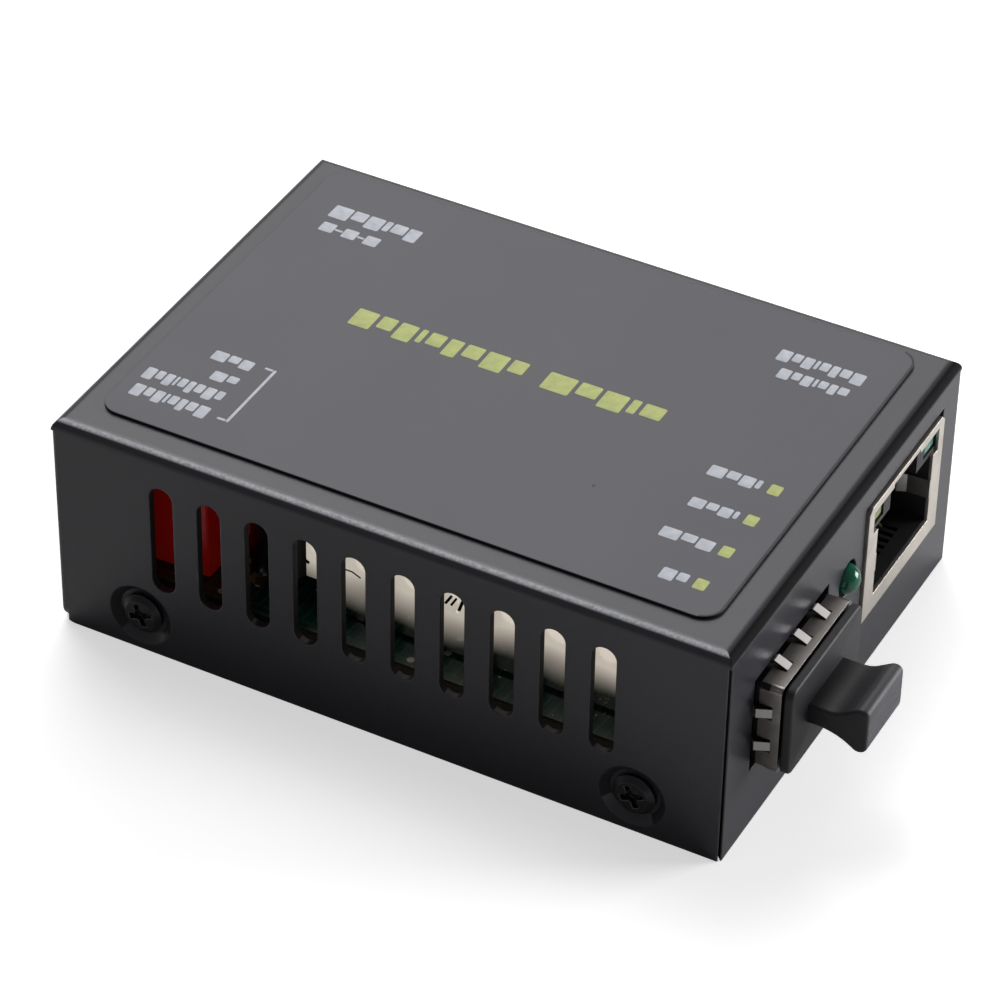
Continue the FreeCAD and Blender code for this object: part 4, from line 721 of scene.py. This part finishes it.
def grip_profile(root, end, groove):
    """The grip's side view round its level line: a flat neck, two hollow curves out to a thick
    bar, a round nose below, two grooves of this depth in the end face, and a crown above."""
    neck, bar = 1.1, 2.5
    nose, crown, toe, lower, upper = 0.85, 0.7, 1.0, 6.0, 3.0
    slope = 33
    rise, run = math.sin(math.radians(slope)), math.cos(math.radians(slope))
    ramp_x, ramp_z = end - nose - nose * rise, -bar + nose - nose * run
    hollow_z = -neck - lower * (1 - run)
    hollow_x = ramp_x - (hollow_z - ramp_z) * (run / rise)
    slope_x, slope_z = end - crown - toe * rise, bar - toe + toe * run
    valley_z = neck + upper * (1 - run)
    valley_x = slope_x - (slope_z - valley_z) * (run / rise)
    groove_form = ((-0.16, 0.0), (-0.07, 0.8), (0.0, 1.0), (0.07, 0.8), (0.16, 0.0))
    face = [(end - groove * depth, place + off) for place in (-0.6, 0.6)
            for off, depth in groove_form]
    return np.vstack([
        [(root, -neck)],
        arc(hollow_x - lower * rise, -neck - lower, lower, 90, 90 - slope),
        arc(end - nose, -bar + nose, nose, 270 - slope, 360),
        face,
        arc(end - crown, bar - crown, crown, 0, 90),
        arc(end - crown, bar - toe, toe, 90, 90 + slope, 5)[1:],
        arc(valley_x - upper * rise, neck + upper, upper, 270 + slope, 270),
        [(root, neck)]])


def inset_profile(profile, distance):
    """The closed profile moved inwards, each point along the middle of its two side normals."""
    ahead = np.roll(profile, -1, axis=0) - profile
    behind = profile - np.roll(profile, 1, axis=0)
    along = sum(side / np.linalg.norm(side, axis=1, keepdims=True) for side in (ahead, behind))
    along /= np.linalg.norm(along, axis=1, keepdims=True)
    return profile + np.column_stack([-along[:, 1], along[:, 0]]) * distance


def make_plug(material):
    """The rubber plug: a hollow block with a rounded flange, and the waisted grip on it. The grip
    is its side view carried across, and drawn in round a quarter circle at either end."""
    (x0, y0, z0), (x1, y1, z1) = box_mm("dust_plug")
    middle_y, half_y = (y0 + y1) / 2, (y1 - y0) / 2
    middle_z, half_z = (z0 + z1) / 2, (z1 - z0) / 2
    skirt_y, skirt_z = half_y - 0.97, half_z - 0.7
    hollow_y, hollow_z, hollow_depth = skirt_y - 1.6, skirt_z - 1.6, 10.5
    back, front = x0 + 12, x0 + 12.9
    inside = [(x0 + hollow_depth, hollow_y, hollow_z, 0.1), (x0 + 0.1, hollow_y, hollow_z, 0.1),
              (x0, hollow_y + 0.1, hollow_z + 0.1, 0.2)]
    skirt = [(x0, skirt_y - 0.5, skirt_z - 0.5, 0.6), (x0 + 0.5, skirt_y, skirt_z, 0.9),
             (back, skirt_y, skirt_z, 0.9)]
    flange = [(x, half_y - inset, half_z - inset, corner) for x, inset, corner in (
        (back, 0.12, 0.88), (back + 0.12, 0, 1.0), (front - 0.26, 0, 1.0),
        (front - 0.13, 0.04, 0.96), (front - 0.04, 0.13, 0.88), (front, 0.28, 0.75))]
    skin = solid_of_sections(inside + skirt + flange, middle_y, middle_z)
    block = make_piece("plug_block", *skin, material, body="plug", slot="plug_rubber")
    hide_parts("dust_plug")

    level, half_grip, turn, groove = middle_z + 0.05, 3.85, 0.34, 0.1
    rings = []
    for side in (-1, 1):
        for angle in np.radians((0, 22.5, 45, 67.5, 90))[::-side]:
            inset = turn * (1 - math.sin(angle))
            flat = grip_profile(front - 0.2, x1, 0.0 if inset else groove)
            if inset:
                flat = inset_profile(flat, inset)
            across = np.full(len(flat), middle_y + side * (half_grip - turn + turn * math.cos(angle)))
            rings.append(np.column_stack([flat[:, 0], across, level + flat[:, 1]]))
    grip = make_piece("plug_grip", *closed_skin(rings), material, body="plug", slot="plug_rubber")
    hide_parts("dust_plug")


def make_solder_joints(material):
    """Two solder domes on the board in front of the tall capacitor: radius times cosine out, and
    0.6 of it times sine up."""
    low = box_mm("filter_capacitor")[0]
    board_top = box_mm("circuit_board")[1][2]
    turn = np.linspace(0, 2 * np.pi, 16, endpoint=False)
    skins = []
    for off_x, off_y, radius in ((1.95, -0.35, 0.26), (2.7, -0.15, 0.24)):
        x, y = low[0] + off_x, low[1] + off_y
        rings = []
        for angle in np.radians(np.linspace(0, 80, 6)):
            out, up = radius * math.cos(angle), radius * 0.6 * math.sin(angle)
            height = np.full(len(turn), board_top + up)
            rings.append(np.column_stack([x + out * np.cos(turn), y + out * np.sin(turn), height]))
        skins.append(closed_skin(rings))
    make_piece("solder_joints", *joined_skins(skins), material, slot="lead_tin")


# ---------------------------------------------------------------- studio
def sweep_floor():
    """The floor: a wide flat grid just under the object. The camera sees it white, with a glow of
    its own, gloss and clear plastic see it white, and the light that it spreads is grey."""
    half_span, cells, drop = 2500, 8, 0.05
    span = np.linspace(-half_span, half_span, cells + 1)
    x, y = np.meshgrid(span, span, indexing="ij")
    points = np.column_stack([x.ravel(), y.ravel(), np.full(x.size, -drop)])
    first = (np.arange(cells)[:, None] * (cells + 1) + np.arange(cells)).ravel()
    faces = np.column_stack([first, first + cells + 1, first + cells + 2, first + 1])

    finish = Finish("floor_paper", roughness=0.8, specular_ior_level=0.1)
    lens = finish.add("ShaderNodeLightPath", output="Is Camera Ray")
    seen = lens.most(lens.beside("Is Glossy Ray")).most(lens.beside("Is Transmission Ray"))
    finish.set(base_color=finish.mix(seen, tone(150, 150, 152), tone(250, 250, 250)),
               emission_color=finish.mix(lens, tone(0, 0, 0), tone(255, 255, 255)),
               emission_strength=0.55)
    floor = make_piece("floor", points, [faces], finish.material, body=None, closed=False)


def light_world():
    """The surrounding light: white to the camera and through clear plastic, a fifth as bright in
    gloss, and a low even fill on everything else."""
    world = bpy.data.worlds.new("studio")
    bpy.context.scene.world = world
    world.use_nodes = True
    tree = world.node_tree
    tree.nodes.clear()
    lens = add_node(tree, "ShaderNodeLightPath", output="Is Camera Ray")
    seen = lens.most(lens.beside("Is Transmission Ray"))
    strength = seen + lens.beside("Is Glossy Ray") * 0.2 + lens.beside("Is Diffuse Ray") * 0.137
    fill = add_node(tree, "ShaderNodeBackground", {"Color": (1, 1, 1, 1), "Strength": strength})
    add_node(tree, "ShaderNodeOutputWorld", {"Surface": fill})


def hang_lamp(name, place, power, size):
    """A square soft light at a place in metres, turned to the middle of the case."""
    target = (0, 0, 0.012)
    data = bpy.data.lights.new(name, "AREA")
    data.energy = power
    data.size = size
    lamp = bpy.data.objects.new(name, data)
    lamp.location = place
    reach = [t - p for t, p in zip(target, place)]
    tilt = math.atan2(math.hypot(reach[0], reach[1]), -reach[2])
    heading = math.atan2(reach[1], reach[0]) - math.pi / 2
    lamp.rotation_euler = (tilt, 0, heading)
    bpy.context.scene.collection.objects.link(lamp)


aim_camera()
shared = dress_solids()
print_label()
make_status_lens(shared["green"])
make_plug(shared["rubber"])
make_solder_joints(shared["solder"])
sweep_floor()
light_world()
hang_lamp("overhead_softbox", place=(-0.25, 0.21, 0.62), power=1.73, size=0.34)
hang_lamp("rear_softbox", place=(-0.32, 0.62, 0.56), power=2.13, size=0.6)
hang_lamp("port_side_panel", place=(0.6, 0.5, 0.12), power=7.26, size=0.4)
bpy.context.scene.view_settings.view_transform = "Standard"
